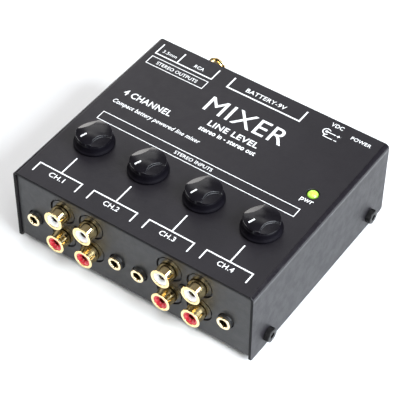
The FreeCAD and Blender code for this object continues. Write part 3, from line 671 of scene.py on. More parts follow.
def battery_jacket():
    """Plain printed battery jacket: dark body, copper-coloured band, crimped end."""
    look = Look("battery_jacket", Metallic=0.6)
    along = look.axis("Y")
    low, high = box_mm("battery")
    band = look.spread(along, high.y - 15.2, high.y - 15.0)
    grain = look.drift(0.9, 5.0, 0.6)
    dark = look.blend(grain, (0.030, 0.031, 0.036), (0.046, 0.047, 0.053))
    copper = look.blend(grain, (0.46, 0.22, 0.10), (0.56, 0.29, 0.14))
    steel = look.spread(along, low.y + 2.9, low.y + 2.4)
    look.colour(look.blend(steel, look.blend(band, dark, copper), (0.55, 0.55, 0.56)))
    look.patchy(0.26, 0.38, 0.8, 4.0)
    look.bump((look.noise(2.0, 4.0), 0.012))
    return look.material


LOOKS = {
    "black_paint": powder_coat(),
    "shaded_cut_edge": shaded_cut_edge(),
    "lit_panel_coat": lit_panel_coat(),
    "circuit_board": solder_mask(),
    "plain_steel": brushed("zinc_steel", (0.50, 0.50, 0.50), (0.66, 0.66, 0.65), 0.32,
                           (0.4, 0.4, 5.0)),
    "shaft_metal": brushed("turned_aluminium", (0.62, 0.62, 0.63), (0.76, 0.76, 0.77), 0.30,
                           (0.3, 0.3, 6.0)),
    "socket_plastic": moulded("socket_black", (0.010, 0.010, 0.011), (0.017, 0.017, 0.018), 0.36),
    "button_plastic": moulded("button_black", (0.014, 0.014, 0.015), (0.022, 0.022, 0.023), 0.34),
    "contact_brass": plated("contact_brass", (0.55, 0.42, 0.20), (0.74, 0.60, 0.33), 0.24),
    "battery_jacket": battery_jacket(),
    "black_steel": black_oxide(),
    "foot_rubber": rubber(),
    "knob_plastic": knob_plastic(),
    "lamp_lens": lamp_epoxy(),
    "ring_brass": plated("ring_brass", (0.80, 0.62, 0.34), (0.95, 0.82, 0.55), 0.14),
    "gold_plate": plated("gold_plate", (0.80, 0.58, 0.24), (0.95, 0.77, 0.42), 0.09),
    "white_insulator": insulator("white_insulator", (0.80, 0.80, 0.78), (0.88, 0.88, 0.86)),
    "red_insulator": insulator("red_insulator", (0.52, 0.008, 0.020), (0.66, 0.016, 0.035)),
    "white_print": ink("white_print", (0.90, 0.90, 0.90), 0.45),
    "pointer_print": ink("pointer_print", (0.92, 0.92, 0.92), 0.40),
}


# ---- cover and tray


def bend_outline(half, top, bottom, radius):
    """Upside-down U outline in X and Z: side walls, rounded bends and a flat top."""
    steps = 8
    outline = [(-half, bottom)]
    for side in (-1, 1):
        for k in range(steps + 1):
            turn = math.pi * (0.5 + 0.5 * (1 - k / steps if side < 0 else -k / steps))
            outline.append((side * (half - radius) + radius * math.cos(turn),
                            top - radius + radius * math.sin(turn)))
    outline.append((half, bottom))
    return outline


def cover_outline():
    """Cross-section of the cover, outside then inside."""
    half = COVER_HIGH.x
    outer = bend_outline(half, TOP, COVER_LOW.z, COVER_BEND)
    inner = bend_outline(half - SHEET, TOP - SHEET, COVER_LOW.z, COVER_BEND - SHEET)
    return outer + inner[::-1]


def rod_mesh(face, x, y, z, radius):
    """Round cutter through the sheet at a face."""
    mesh = prism("rod", round_outline(radius), -CUT_REACH, CUT_REACH, "z")
    mesh.transform(placed(face, x, y, z))
    return mesh


def clip_meshes():
    """Cutters that take off the cover's lower corners."""
    tools = []
    low = COVER_LOW.z
    for end in (COVER_LOW.y, COVER_HIGH.y):
        way = 1 if end > 0 else -1
        inner, outer = end - way * CORNER_CLIP, end + way * CUT_REACH
        outline = [(inner, low), (end + way * 0.5, low + CORNER_CLIP + 0.5),
                   (outer, low + CORNER_CLIP), (outer, low - CUT_REACH), (inner, low - CUT_REACH)]
        for side in (COVER_LOW.x, COVER_HIGH.x):
            tools.append(prism("clip", outline, side - CUT_REACH, side + CUT_REACH, "x"))
    return tools


def cover_mesh():
    """Cover with its holes and clipped corners, edges rounded."""
    mesh = prism("cover_shell", cover_outline(), COVER_LOW.y, COVER_HIGH.y, "y")
    tools = [rod_mesh("top", k.x, k.y, TOP, COVER_SHAFT_HOLE) for k in KNOBS]
    tools.append(rod_mesh("top", LAMP.x, LAMP.y, TOP, LAMP_HOLE))
    for y, z in screw_places():
        tools.append(rod_mesh("right", COVER_HIGH.x, y, z, SCREW_HOLE))
        tools.append(rod_mesh("left", COVER_LOW.x, y, z, SCREW_HOLE))
    tools += clip_meshes()
    return softened(carved(mesh, merged("tools", tools)), EDGE_ROUND, segments=3)


def screw_places():
    """(y, z) of the cover screws on either side."""
    low = SCREW_LOW.y + SIDE_HEAD_RADIUS
    high = SCREW_HIGH.y - SIDE_HEAD_RADIUS
    z = (SCREW_LOW.z + SCREW_HIGH.z) / 2
    return [(low, z), (high, z)]


def tray_outline():
    """Cross-section of the tray in Y and Z: folded floor, panels with rolled upper edges."""
    top = PANEL_HIGH.z - PANEL_RELIEF
    bottom = TRAY_LOW.z
    outline = arc(FRONT + SHEET, top - SHEET, SHEET, 90, 180)
    outline += arc(FRONT + SHEET, bottom + SHEET, SHEET, 180, 270)
    outline += arc(REAR - SHEET, bottom + SHEET, SHEET, 270, 360)
    outline += arc(REAR - SHEET, top - SHEET, SHEET, 0, 90)
    outline += [(REAR - SHEET, bottom + SHEET), (FRONT + SHEET, bottom + SHEET)]
    return outline


PANEL_HOLES = (
    ("front", FRONT, ["input_rca_shells_1", "input_rca_shells_2"],
     [(f"input_jack_bush_{k}", JACK_HOLE) for k in range(1, 5)]),
    ("rear", REAR, ["output_rca_shells"],
     [("output_jack_bush", JACK_HOLE), ("dc_jack_pin", DC_HOLE), ("power_button", BUTTON_HOLE)]),
)


def panel_cutters():
    """Cutters for every hole in the front and rear panels."""
    tools = []
    for face, y, shells, others in PANEL_HOLES:
        for node in shells:
            tools += [rod_mesh(face, x, y, z, PHONO_HOLE) for x, z in phono_places(node)]
        for node, radius in others:
            place = middle_mm(node)
            tools.append(rod_mesh(face, place.x, y, place.z, radius))
    return tools


def battery_cutter():
    """Cutter for the battery housing's opening, which the bezel covers."""
    low, high = box_mm("battery_box")
    outline = rectangle(low.x + BEZEL_INSET, high.x - BEZEL_INSET,
                        low.z + BEZEL_INSET, high.z - BEZEL_INSET)
    return prism("battery_cutter", outline, REAR - CUT_REACH, REAR + CUT_REACH, "y")


def tray_mesh():
    """Folded tray with every panel hole, side flanges and rounded edges."""
    mesh = prism("tray_shell", tray_outline(), TRAY_LOW.x, TRAY_HIGH.x, "x")
    mesh = carved(mesh, merged("tools", panel_cutters()))
    mesh = carved(mesh, battery_cutter())
    flanges = []
    reach = (TRAY_HIGH.y - TRAY_LOW.y) / 2 - SHEET - FLANGE_SHORT
    for side in (-1, 1):
        inner, outer = sorted((side * (TRAY_HIGH.x - SHEET), side * TRAY_HIGH.x))
        outline = rectangle(inner, outer, TRAY_LOW.z + FLANGE_LIFT, TRAY_HIGH.z)
        flanges.append(prism("flange", outline, MIDDLE_Y - reach, MIDDLE_Y + reach, "y"))
    mesh = carved(mesh, merged("flanges", flanges), "UNION")
    return softened(mesh, TRAY_EDGE_ROUND)


def coat_and_shade_cut_edges(cover):
    """Give the cover's front and rear cut edges their own darker coat, partly painted shade of the
    gap above the panel.
    """
    cover.data.materials.append(LOOKS["shaded_cut_edge"])
    ends = (COVER_LOW.y * MM, COVER_HIGH.y * MM)
    for face in cover.data.polygons:
        away = min(abs(face.center.y - end) for end in ends)
        if away < CUT_EDGE_BAND * MM and abs(face.normal.y) > CUT_EDGE_FACING:
            face.material_index = 1


def add_case():
    """Cover and tray."""
    cover = piece("cover_shell", cover_mesh(), "case", "black_paint", stands_for=["cover"])
    # The cut edges get a darker coat that is partly painted shade of the gap above the panel.
    coat_and_shade_cut_edges(cover)
    # The tray takes the lighter copy of the coat, which paints light onto its panels.
    tray = piece("tray_shell", tray_mesh(), "case", "black_paint",
                 stands_for=["chassis", "front_panel", "rear_panel"], look="lit_panel_coat")
    for obj in (cover, tray):
        flat_shading(obj)


# ---- screws and feet


def knurled_head():
    """Thick cylinder head with a knurled side, a chamfer and a hex socket."""
    ridges = 40
    ridge_steps = 6
    ridge_depth = 0.11
    side = SIDE_HEAD_RADIUS
    top = SIDE_HEAD_HEIGHT
    floor = top - 1.5
    half = SIDE_SOCKET_FLATS / 2
    sixth = math.pi / 3
    head = Rings(ridges * ridge_steps)
    head.tip(0)
    for inset, height, knurl in ((0.18, 0.0, 0.2), (0.0, 0.16, 1.0), (0.0, top - 0.62, 1.0),
                                 (0.06, top - 0.42, 0.3), (0.08, top - 0.22, 0.0),
                                 (0.16, top - 0.07, 0.0), (0.32, top, 0.0)):
        head.ring(lambda s, turn, r=side - inset, k=knurl:
                  r - ridge_depth * k * abs((s % ridge_steps) / (ridge_steps / 2) - 1), height)
    for flats, height in ((half + 0.12, top), (half, top - 0.12), (half, floor)):
        head.ring(lambda s, turn, r=flats:
                  r / math.cos((turn + sixth / 2) % sixth - sixth / 2), height)
    head.tip(floor - 0.25)
    return head.mesh("knurled_head", 30.0)


def add_side_screws():
    """Four cover screws."""
    mesh = knurled_head()
    number = 1
    for face, x in (("left", COVER_LOW.x), ("right", COVER_HIGH.x)):
        for y, z in screw_places():
            turn = Matrix.Rotation(math.radians(17 * number), 4, "Z")
            piece(f"cover_screw_{number}", mesh, "case", "black_steel",
                  placed(face, x, y, z) @ turn, ["cover_screws"])
            number += 1


def pan_head():
    """Pan-head screw with a cross recess."""
    head = lathe("pan_head", [(0, 0, 0), (PAN_HEAD, 0, 0.1), (PAN_HEAD, 0.55, 0.5),
                              (PAN_HEAD - 0.9, PAN_HEIGHT, 0.8), (0, PAN_HEIGHT, 0)], 56, False)
    arm = 1.35
    wide = 0.34
    taper = 0.62
    cross = [(arm, -wide), (arm, wide), (wide, wide), (wide, arm), (-wide, arm), (-wide, wide),
             (-arm, wide), (-arm, -wide), (-wide, -wide), (-wide, -arm), (wide, -arm),
             (wide, -wide)]
    tool = prism("cross", cross, PAN_HEIGHT - 0.9, PAN_HEIGHT + 1, "z")
    for vertex in tool.vertices:
        if vertex.co.z < PAN_HEIGHT * MM:
            vertex.co.x *= taper
            vertex.co.y *= taper
    return smooth_mesh(carved(head, tool), 30.0)


def add_block_screws():
    """Screws between the phono sockets, two at the front and one at the rear."""
    mesh = pan_head()
    places = [("front", middle_mm(f"input_rca_body_{k}").x, FRONT) for k in (1, 2)]
    places.append(("rear", middle_mm("output_rca_body").x, REAR))
    z = middle_mm("rca_body_screws").z
    for number, (face, x, y) in enumerate(places, start=1):
        turn = Matrix.Rotation(math.radians(25 + 20 * number), 4, "Z")
        piece(f"block_screw_{number}", mesh, "case", "black_steel",
              placed(face, x, y, z) @ turn, ["rca_body_screws"])


def add_feet():
    """Four stick-on feet, rounded and slightly dished below."""
    low, high = box_mm("feet")
    height = high.z - low.z
    mesh = lathe("rubber_foot", [(0, 0.25, 0), (FOOT_RADIUS - 1.6, 0.25, 0.2),
                                 (FOOT_RADIUS - 1.2, 0, 0.3), (FOOT_RADIUS - 0.6, 0, 0.5),
                                 (FOOT_RADIUS, height, 0.1), (0, height, 0)], 48, False)
    number = 1
    for x in (low.x + FOOT_RADIUS, high.x - FOOT_RADIUS):
        for y in (low.y + FOOT_RADIUS, high.y - FOOT_RADIUS):
            piece(f"foot_{number}", mesh, "case", "foot_rubber",
                  placed("top", x, y, low.z), ["feet"])
            number += 1


# ---- knobs


def soft_low(a, b, reach):
    """The lower of two heights, rounded where they meet."""
    share = max(0.0, min(1.0, 0.5 + 0.5 * (b - a) / reach))
    return b + (a - b) * share - reach * share * (1 - share)


def soft_high(a, b, reach):
    """The higher of two heights, rounded where they meet."""
    return -soft_low(-a, -b, reach)


def crown_height(radius, rim, crown):
    """Height of the domed crown at a radius, rounded over at the rim."""
    edge = KNOB_GRIP - 0.12
    rise = crown - rim
    ball = (edge ** 2 + rise ** 2) / (2 * rise)
    height = crown - ball + math.sqrt(max(0.0, ball ** 2 - radius ** 2))
    corner = 0.2
    over = radius - (KNOB_GRIP - corner)
    if over > 0:
        height -= corner - math.sqrt(max(0.0, corner ** 2 - over ** 2))
    return height


def scoop_height(x, y, crown):
    """Height of the scooped surface at a point: a tilted floor with a steep inner wall."""
    wall_slope = 4.5
    result = 1e3
    for angle in SCOOP_ANGLES:
        across = math.radians(angle)
        out = x * math.cos(across) + y * math.sin(across)
        side = -x * math.sin(across) + y * math.cos(across)
        inner = SCOOP_OFFSET - SCOOP_RADIUS
        floor = crown - SCOOP_DEPTH - (out - inner) * math.tan(math.radians(SCOOP_TILT))
        dish = 0.006 * side ** 2
        distance = math.hypot(out - SCOOP_OFFSET, side) - SCOOP_RADIUS
        wall = floor + dish + distance * wall_slope
        result = min(result, soft_high(floor + dish, wall, 0.1))
    return result


def knob_top(x, y, rim, crown):
    """Height of the knob's upper surface at a point."""
    blank = crown_height(math.hypot(x, y), rim, crown)
    return soft_low(blank, scoop_height(x, y, crown), 0.26)


def skirt_profile(height):
    """Outside of the knob from its lower edge up to the grip, as (radius, height)."""
    foot = KNOB_SKIRT
    grip = KNOB_GRIP
    path = [(foot - 0.25, 0.0), (foot - 0.08, 0.07), (foot, 0.22), (foot, 0.62),
            (foot - 0.06, 0.82)]
    start = (foot - 0.16, 0.94)
    end = (grip + 0.10, 2.7)
    bend = (grip + 0.22, 1.15)
    for k in range(9):
        t = k / 8
        path.append(tuple(start[i] * (1 - t) ** 2 + bend[i] * 2 * t * (1 - t) + end[i] * t ** 2
                          for i in (0, 1)))
    path.append((grip + 0.04, height * GRIP_START))
    return path


def knob_mesh(height):
    """Level knob: flared skirt, grip, domed crown with two finger scoops, hollow below."""
    rim = height - KNOB_RIM_BELOW_CROWN
    hollow = KNOB_GRIP - KNOB_WALL
    ceiling = rim - KNOB_ROOF
    grip_low = height * GRIP_START

    def upper(x, y):
        return knob_top(x, y, rim, height)

    knob = Rings(KNOB_SEGMENTS)
    knob.tip(ceiling)
    inside = [(hollow, ceiling), (hollow, 0.2), (hollow + 0.2, 0.0)]
    for radius, level in inside + skirt_profile(height):
        knob.ring(radius, level)
    for share in (0.35, 0.65, 0.85, 0.95):
        knob.ring(KNOB_GRIP, lambda x, y, t=share: grip_low + t * (upper(x, y) - grip_low))
    radii = [KNOB_GRIP - 0.2 * (1 - math.cos(math.pi / 2 * k / 5)) for k in range(6)]
    count = int(radii[-1] / CROWN_RING_STEP)
    radii += [radii[-1] * (1 - k / count) for k in range(1, count)]
    for radius in radii:
        knob.ring(radius, upper)
    knob.tip(upper(0, 0))
    return knob.mesh("knob_cap", 60.0)


def pointer_mesh(height):
    """White pointer line that lies on the crown."""
    rim = height - KNOB_RIM_BELOW_CROWN
    across = math.radians(POINTER_ANGLE)
    rows = 24
    columns = 8
    proud = 0.05
    points = []
    for level in (proud, -0.15):
        for i in range(rows + 1):
            for j in range(columns + 1):
                out = POINTER_CENTRE + POINTER_LENGTH * (i / rows - 0.5)
                side = POINTER_WIDTH * (j / columns - 0.5)
                x = out * math.cos(across) - side * math.sin(across)
                y = out * math.sin(across) + side * math.cos(across)
                points.append((x, y, crown_height(math.hypot(x, y), rim, height) + level))
    wide = columns + 1
    lower = (rows + 1) * wide
    faces = []
    for i in range(rows):
        for j in range(columns):
            a = i * wide + j
            faces.append((a, a + 1, a + wide + 1, a + wide))
            faces.append((lower + a, lower + a + wide, lower + a + wide + 1, lower + a + 1))
    edge = [i * wide for i in range(rows + 1)]
    edge += [rows * wide + j for j in range(1, columns + 1)]
    edge += [i * wide + columns for i in range(rows - 1, -1, -1)]
    edge += [j for j in range(columns - 1, 0, -1)]
    for a, b in zip(edge, edge[1:] + edge[:1]):
        faces.append((a, b, lower + b, lower + a))
    return mesh_of("knob_pointer", points, faces, 30.0)


def add_knobs():
    """Four level knobs and their pointers, each on its own body."""
    low, high = box_mm("knob_1")
    cap = knob_mesh(high.z - low.z)
    pointer = pointer_mesh(high.z - low.z)
    for k, place in enumerate(KNOBS, start=1):
        stand = placed("top", place.x, place.y, low.z)
        body = f"level_knob_{k}"
        piece(f"knob_cap_{k}", cap, body, "knob_plastic", stand, [f"knob_{k}"])
        piece(f"knob_pointer_{k}", pointer, body, "knob_plastic", stand, look="pointer_print")


# ---- lamp


def add_lamp():
    """Round lamp with a domed end, standing through the cover."""
    low, high = box_mm("power_led")
    top = high.z - low.z
    dome = LAMP_RADIUS
    shoulder = LAMP_BASE + 1.0
    profile = [(0, LAMP_BASE, 0), (LAMP_FLANGE, LAMP_BASE, 0.1), (LAMP_FLANGE, shoulder, 0.1),
               (dome, shoulder, 0.05)]
    steps = 10
    for k in range(steps + 1):
        turn = math.pi / 2 * k / steps
        profile.append((dome * math.cos(turn), top - dome + dome * math.sin(turn), 0))
    mesh = lathe("lamp_lens", profile, 56, False, 45.0)
    mesh.transform(placed("top", LAMP.x, LAMP.y, low.z))
    piece("power_lamp", mesh, "case", "lamp_lens", stands_for=["power_led"])


# ---- sockets


def barrel_mesh(reach):
    """Gold phono barrel: thin rounded lip, a neck that widens behind it, then a plain tube."""
    return lathe("phono_barrel", [
        (PHONO_BORE, reach, 0.12), (PHONO_FLANGE, reach, 0.2), (PHONO_FLANGE, reach - 0.55, 0.2),
        (PHONO_NECK, reach - 0.75, 0.1), (PHONO_BARREL, reach - PHONO_TAPER, 0.4),
        (PHONO_BARREL, -PHONO_BEHIND, 0), (PHONO_BORE, -PHONO_BEHIND, 0)], 96, sharp=60.0)


def insert_mesh(reach):
    """Insulator that fills the barrel, with a shallow funnel to the contact hole."""
    face = reach - 0.15
    return lathe("phono_insert", [
        (PHONO_SOCKET, face - 1.3, 0.1), (PHONO_SOCKET + 0.8, face - 0.04, 0.2),
        (PHONO_BORE - 0.35, face, 0.2), (PHONO_BORE, face - 0.12, 0.08),
        (PHONO_BORE, -PHONO_BEHIND, 0), (PHONO_CONTACT, -PHONO_BEHIND, 0),
        (PHONO_CONTACT, face - 1.5, 0), (PHONO_SOCKET, face - 1.5, 0.05)], 72, sharp=50.0)


def ring_mesh():
    """Bright ring and lining of a 3.5 mm socket."""
    mouth = JACK_REACH
    tube = JACK_BORE + 0.45
    return lathe("jack_ring", [
        (JACK_BORE + 0.18, mouth, 0.1), (JACK_RING, mouth, 0.28), (JACK_RING, mouth - 0.7, 0.1),
        (tube, mouth - 0.7, 0), (tube, -2.0, 0), (JACK_BORE, -2.0, 0),
        (JACK_BORE, mouth - 0.3, 0.1)], 72, sharp=50.0)


def add_phono(kind, nodes, face, y):
    """Barrels and inserts of the phono sockets in some nodes on one panel."""
    low, high = box_mm(nodes[0])
    reach = max(abs(low.y), abs(high.y)) - abs(y)
    barrel = barrel_mesh(reach)
    inserts = {colour: insert_mesh(reach) for colour in ("white", "red")}
    suffix = "inserts" if kind == "input" else "insert"
    number = 1
    for node in nodes:
        places = phono_places(node)
        lowest = min(z for x, z in places)
        for x, z in places:
            stand = placed(face, x, y, z)
            colour = "red" if z == lowest else "white"
            piece(f"{kind}_barrel_{number}", barrel, "case", "gold_plate", stand, [node])
            piece(f"{kind}_{colour}_insert_{number}", inserts[colour], "case",
                  f"{colour}_insulator", stand, [f"{kind}_rca_{colour}_{suffix}"])
            number += 1


def add_rings():
    """Rings of the 3.5 mm sockets."""
    ring = ring_mesh()
    sockets = [("front", FRONT, "input", f"_{k}") for k in range(1, 5)]
    sockets.append(("rear", REAR, "output", ""))
    for face, y, kind, number in sockets:
        node = f"{kind}_jack_bush{number}"
        place = middle_mm(node)
        piece(f"{kind}_jack_ring{number}", ring, "case", "ring_brass",
              placed(face, place.x, y, place.z), [node])


# ---- power button


def add_button():
    """Round push button, slightly dished, on a square plunger."""
    low, high = box_mm("power_button")
    place = (low + high) / 2
    profile = [(0, BUTTON_CAP_FOOT, 0), (BUTTON_RADIUS, BUTTON_CAP_FOOT, 0.1),
               (BUTTON_RADIUS, BUTTON_REACH, 0.6),
               (BUTTON_RADIUS - 0.9, BUTTON_REACH - 0.02, 0.5), (1.2, BUTTON_REACH - 0.28, 0.8),
               (0, BUTTON_REACH - 0.3, 0)]
    cap = lathe("button_cap", profile, 64, False, 50.0)
    reach = high.y - low.y - BUTTON_REACH
    square = rectangle(-PLUNGER_HALF, PLUNGER_HALF, -PLUNGER_HALF, PLUNGER_HALF)
    plunger = prism("plunger", square, -reach, BUTTON_CAP_FOOT + 0.05, "z")
    mesh = smooth_mesh(carved(cap, plunger, "UNION"), 50.0)
    piece("push_button", mesh, "power_push", "button_plastic",
          placed("rear", place.x, REAR, place.z), ["power_button"])


# ---- printed legend


class Legend:
    """One group of screen-printed marks on the cover's top."""

    def __init__(self, name):
        self.name = name
        self.work = bmesh.new()
        self.low = -INK_DEPTH
        self.high = INK_HEIGHT

    def slab(self, outline):
        """Thin printed patch of any outline."""
        self.work.from_mesh(prism("patch", outline, self.low, self.high, "z"))

    def line(self, points, width, closed=False):
        """Printed line with mitred corners."""
        flat = [Vector(p) for p in points]
        count = len(flat)
        left = []
        right = []
        for i, here in enumerate(flat):
            before = flat[i - 1] if closed or i > 0 else None
            after = flat[(i + 1) % count] if closed or i < count - 1 else None
            ways = [(here - before).normalized()] if before is not None else []
            ways += [(after - here).normalized()] if after is not None else []
            normals = [Vector((-w.y, w.x)) for w in ways]
            mitre = sum(normals, Vector((0, 0))).normalized()
            reach = width / 2 / max(0.3, mitre.dot(normals[0]))
            left.append(here + mitre * reach)
            right.append(here - mitre * reach)
        spans = count if closed else count - 1
        for i in range(spans):
            j = (i + 1) % count
            self.slab([tuple(right[i]), tuple(right[j]), tuple(left[j]), tuple(left[i])])

    def disc(self, x, y, radius):
        self.slab(round_outline(radius, x, y, 24))

    def text(self, words, x, y, height, width, bold=0.0, slant=0.0):
        """Words centred on a point, with a given capital height and overall width."""
        curve = bpy.data.curves.new("words", "FONT")
        curve.body = words
        curve.size = height / CAPITAL_SHARE
        curve.offset = bold
        curve.space_character = LETTER_SPACING
        curve.resolution_u = 4
        curve.shear = slant
        obj = linked("words", curve)
        bpy.context.view_layer.update()
        mesh = bpy.data.meshes.new_from_object(obj)
        xs = [v.co.x for v in mesh.vertices]
        stretch = width / (max(xs) - min(xs))
        shift = x - stretch * (max(xs) + min(xs)) / 2
        flat = bmesh.new()
        flat.from_mesh(mesh)
        bmesh.ops.remove_doubles(flat, verts=flat.verts, dist=0.004)
        made = bmesh.ops.extrude_face_region(flat, geom=list(flat.faces))
        for item in made["geom"]:
            if isinstance(item, bmesh.types.BMVert):
                item.co.z += self.high - self.low
        for vertex in flat.verts:
            vertex.co = Vector((vertex.co.x * stretch + shift, vertex.co.y + y - height / 2,
                                vertex.co.z + self.low)) * MM
        bmesh.ops.recalc_face_normals(flat, faces=flat.faces)
        solid = bpy.data.meshes.new("solid_words")
        flat.to_mesh(solid)
        flat.free()
        self.work.from_mesh(solid)
        bpy.data.objects.remove(obj)
        bpy.data.curves.remove(curve)
        for used in (mesh, solid):
            bpy.data.meshes.remove(used)

    def done(self):
        mesh = bpy.data.meshes.new(self.name)
        self.work.to_mesh(mesh)
        self.work.free()
        mesh.polygons.foreach_set("use_smooth", [False] * len(mesh.polygons))
        piece(self.name, mesh, "case", "black_paint", placed("top", 0, MIDDLE_Y, TOP),
              look="white_print")


def channel_legend():
    """A stem, a bracket and a channel number below each knob."""
    legend = Legend("legend_channels")
    for number, knob in enumerate(KNOBS, start=1):
        x = knob.x - 0.25
        y = knob.y - MIDDLE_Y
        bar = y - 21.05
        half = 10.5
        foot = bar - 5.2
        legend.line([(x - half, foot), (x - half, bar), (x + half, bar), (x + half, foot)],
                    BRACKET_LINE)
        legend.line([(x, bar + BRACKET_LINE / 2), (x, y - 10.9)], BRACKET_LINE)
        legend.text(f"CH.{number}", x, bar - 2.85, 2.35, 7.2, 0.035)
    legend.done()


def input_legend():
    """Long boxed title over the knobs."""
    legend = Legend("legend_inputs")
    left, right = -48.55, 46.65
    legend.line(rectangle(left, right, -6.0, -1.3), BOX_LINE, True)
    legend.text("STEREO INPUTS", -2.1, -3.65, 1.75, 18.2, 0.02)
    legend.done()


def output_legend():
    """Marks for the rear output sockets."""
    legend = Legend("legend_outputs")
    left, split, right = -52.5, -41.5, -23.8
    legend.line(rectangle(left, right, 33.05, 37.95), BOX_LINE, True)
    legend.text("STEREO OUTPUTS", -38.1, 35.45, 1.85, 20.6, 0.02)
    high, bar = 46.8, 40.15
    legend.line([(left, high), (left, bar), (right, bar), (right, high)], BRACKET_LINE)
    legend.line([(split, high), (split, bar + BRACKET_LINE / 2)], BRACKET_LINE)
    legend.text("3.5mm", -46.95, 43.0, 1.75, 7.0, 0.01)
    legend.text("RCA", -31.8, 43.05, 1.85, 4.8, 0.02)
    legend.done()


def battery_legend():
    """Bracket over the battery drawer."""
    legend = Legend("legend_battery")
    left, right = -15.8, 19.9
    high, bar = 46.8, 40.1
    legend.line([(left, high), (left, bar), (right, bar), (right, high)], 0.7)
    legend.text("BATTERY-9V", 1.75, 43.3, 2.3, 19.4, 0.03)
    legend.done()


def power_legend():
    """Marks for the inlet with its polarity sign, the button and the lamp."""
    legend = Legend("legend_power")
    legend.text("VDC", 34.5, 46.5, 2.1, 5.6, 0.03)
    legend.text("POWER", 46.9, 44.15, 1.85, 9.2, 0.02)
    legend.text("pwr", 46.3, 4.55, 2.5, 5.7, 0.04)
    x, y, radius, width = 32.3, 41.5, 1.65, 0.42
    legend.disc(x, y, 0.62)
    legend.line(arc(x, y, radius, 38, 314, 23), width)
    legend.line([(x + 0.55, y), (x + 4.2, y)], width)
    low = y - radius - 1.25
    legend.line([(x, y - radius - 0.2), (x, low), (x + 4.2, low)], width)
    plus = x + 5.5
    legend.line([(plus - 0.75, y), (plus - 0.2, y)], 0.4)
    legend.line([(plus + 0.2, y), (plus + 0.75, y)], 0.4)
    legend.line([(plus, y - 0.75), (plus, y + 0.75)], 0.4)
    legend.line([(plus - 0.6, low), (plus + 0.6, low)], 0.4)
    legend.done()


def title_legend():
    """Plain generic words in place of any mark."""
    legend = Legend("legend_title")
    legend.text("MIXER", 2.3, 27.9, 9.2, 38.0)
    legend.text("LINE LEVEL", 2.3, 18.2, 3.1, 24.0, 0.08)
    legend.text("stereo in - stereo out", 2.3, 13.8, 2.5, 27.0, 0.07)
    legend.text("4 CHANNEL", -36.9, 13.2, 3.3, 23.6, 0.07)
    legend.text("Compact battery powered line mixer", -27.8, 6.6, 2.2, 43.4, 0.03, 0.18)
    legend.done()


# ---- carried-over nodes


SOFT_NODES = {
    "battery_box": 0.3, "battery_drawer": 0.25, "battery": 0.2, "power_switch_body": 0.2,
    "input_rca_body_1": 0.15, "input_rca_body_2": 0.15, "output_rca_body": 0.15,
    "dc_jack_body": 0.15, "output_jack_body": 0.05,
    **{f"input_jack_body_{k}": 0.05 for k in range(1, 5)},
}


def dress_nodes():
    """Give every CAD node the material of its slot, and rounded edges where it shows."""
    slots = {row["node"]: row["material_slot"] for row in frame["record"]["subparts"]}
    for name, node in frame["nodes"].items():
        node.data.materials.clear()
        node.data.materials.append(LOOKS[slots[name]])
        if name in SOFT_NODES:
            weld = node.modifiers.new("weld", "WELD")
            weld.merge_threshold = 0.003 * MM
            soft = node.modifiers.new("edges", "BEVEL")
            soft.width = SOFT_NODES[name] * MM
            soft.segments = 2
            soft.limit_method = "ANGLE"
            soft.angle_limit = math.radians(50)
            soft.harden_normals = True


# ---- stage

VIEW_AZIMUTH = 34.46
VIEW_ELEVATION = 46.55
VIEW_ROLL = 0.669
VIEW_DISTANCE = 640.0
VIEW_TARGET = (4.5, -9.8, 24.9)
VIEW_LENS = 143.6
SKY_LOW = 1.25
SKY_HIGH = 0.22
SKY_FRONT = 0.11
SKY_BACK_RIGHT = 0.35
FLOOR_HALF = 6000.0


def direction(azimuth, elevation):
    """Unit vector from the object towards a viewer."""
    a = math.radians(azimuth)
    e = math.radians(elevation)
    return Vector((math.sin(a) * math.cos(e), -math.cos(a) * math.cos(e), math.sin(e)))


def add_camera():
    """Camera at the photograph's angle."""
    back = direction(VIEW_AZIMUTH, VIEW_ELEVATION)
    level = Vector((math.cos(math.radians(VIEW_AZIMUTH)), math.sin(math.radians(VIEW_AZIMUTH)), 0))
    upright = back.cross(level)
    roll = math.radians(VIEW_ROLL)
    right = level * math.cos(roll) + upright * math.sin(roll)
    up = back.cross(right)
    data = bpy.data.cameras.new("camera")
    data.lens = VIEW_LENS
    data.sensor_width = 36.0
    data.clip_start = 0.01
    data.clip_end = 50.0
    camera = linked("camera", data)
    turn = Matrix((right, up, back)).transposed().to_4x4()
    place = (Vector(VIEW_TARGET) + back * VIEW_DISTANCE) * MM
    camera.matrix_world = Matrix.Translation(place) @ turn
    bpy.context.scene.camera = camera


def softbox(name, azimuth, elevation, distance, size, power, tint=(1.0, 1.0, 1.0)):
    """Rectangular soft light that faces the object."""
    data = bpy.data.lights.new(name, "AREA")
    data.shape = "RECTANGLE"
    data.size, data.size_y = size
    data.energy = power
    data.color = tint
    lamp = linked(name, data)
    back = direction(azimuth, elevation)
    lamp.location = back * distance
    lamp.rotation_euler = back.to_track_quat("Z", "Y").to_euler()


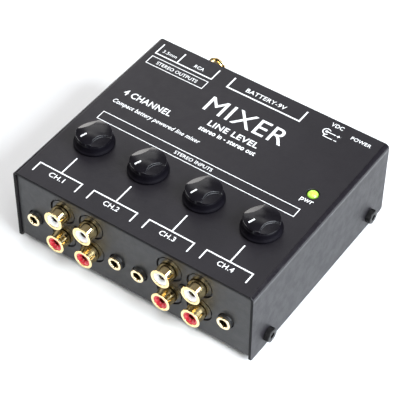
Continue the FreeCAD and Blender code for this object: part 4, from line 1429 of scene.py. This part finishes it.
def add_sky():
    """Room light: bright low down at the back, dim overhead, dark low down at the front."""
    world = bpy.data.worlds.new("world")
    world.use_nodes = True
    sky = Nodes(world.node_tree)
    background = world.node_tree.nodes["Background"]
    background.inputs["Color"].default_value = (0.96, 0.95, 1.0, 1.0)
    way = sky.add("SeparateXYZ", Vector=sky.add("TexCoord").outputs["Generated"]).outputs
    base = sky.spread(way["Z"], 0.10, 0.60, SKY_LOW, SKY_HIGH)
    leftward = sky.spread(way["X"], -0.62, -0.30, 1.0, SKY_BACK_RIGHT)
    behind = sky.product(sky.spread(way["Y"], 0.45, 0.70), leftward)
    above = sky.product(sky.spread(way["Z"], 0.35, 0.75), sky.spread(way["Y"], -0.25, 0.25))
    shade = sky.spread(sky.math("MAXIMUM", behind, above), 0.0, 1.0, SKY_FRONT, 1.0)
    sky.feed(background.inputs["Strength"], sky.product(base, shade))
    bpy.context.scene.world = world


def add_lights():
    """Plain soft studio light: both sides, a wide overhead box and a strip at the back left."""
    softbox("camera_side", 30, 66, 1.4, (0.8, 0.8), 9.2)
    softbox("left_side", 289, 24, 1.3, (0.8, 0.7), 8.0)
    softbox("right_side", 88, 34, 1.3, (0.9, 0.8), 38.0, (0.87, 0.94, 1.0))
    softbox("overhead", 180, 64, 1.2, (1.6, 0.18), 1.3)
    softbox("back_left", 222, 9, 1.2, (0.55, 0.35), 1.6, (1.0, 0.97, 0.92))
    softbox("near_left", 224, 42, 0.40, (0.20, 0.16), 0.11)
    add_sky()
    bpy.context.scene.view_settings.view_transform = "Standard"


def add_floor():
    """Plain pale floor."""
    corners = rectangle(-FLOOR_HALF, FLOOR_HALF, -FLOOR_HALF, FLOOR_HALF)
    mesh = mesh_of("floor", [(x, y, 0) for x, y in corners], [(0, 1, 2, 3)])
    look = Look("floor_paper")
    look.colour(look.blend(look.drift(0.01), (0.90, 0.90, 0.90), (0.93, 0.93, 0.93)))
    look.patchy(0.88, 0.96, 0.02)
    mesh.materials.append(look.material)
    floor = linked("floor", mesh)


# ---- build


def build():
    dress_nodes()
    add_case()
    add_side_screws()
    add_block_screws()
    add_feet()
    add_knobs()
    add_lamp()
    add_phono("input", ["input_rca_shells_1", "input_rca_shells_2"], "front", FRONT)
    add_phono("output", ["output_rca_shells"], "rear", REAR)
    add_rings()
    add_button()
    for legend in (channel_legend, input_legend, output_legend, battery_legend, power_legend,
                   title_legend):
        legend()
    add_floor()
    add_lights()
    add_camera()


build()
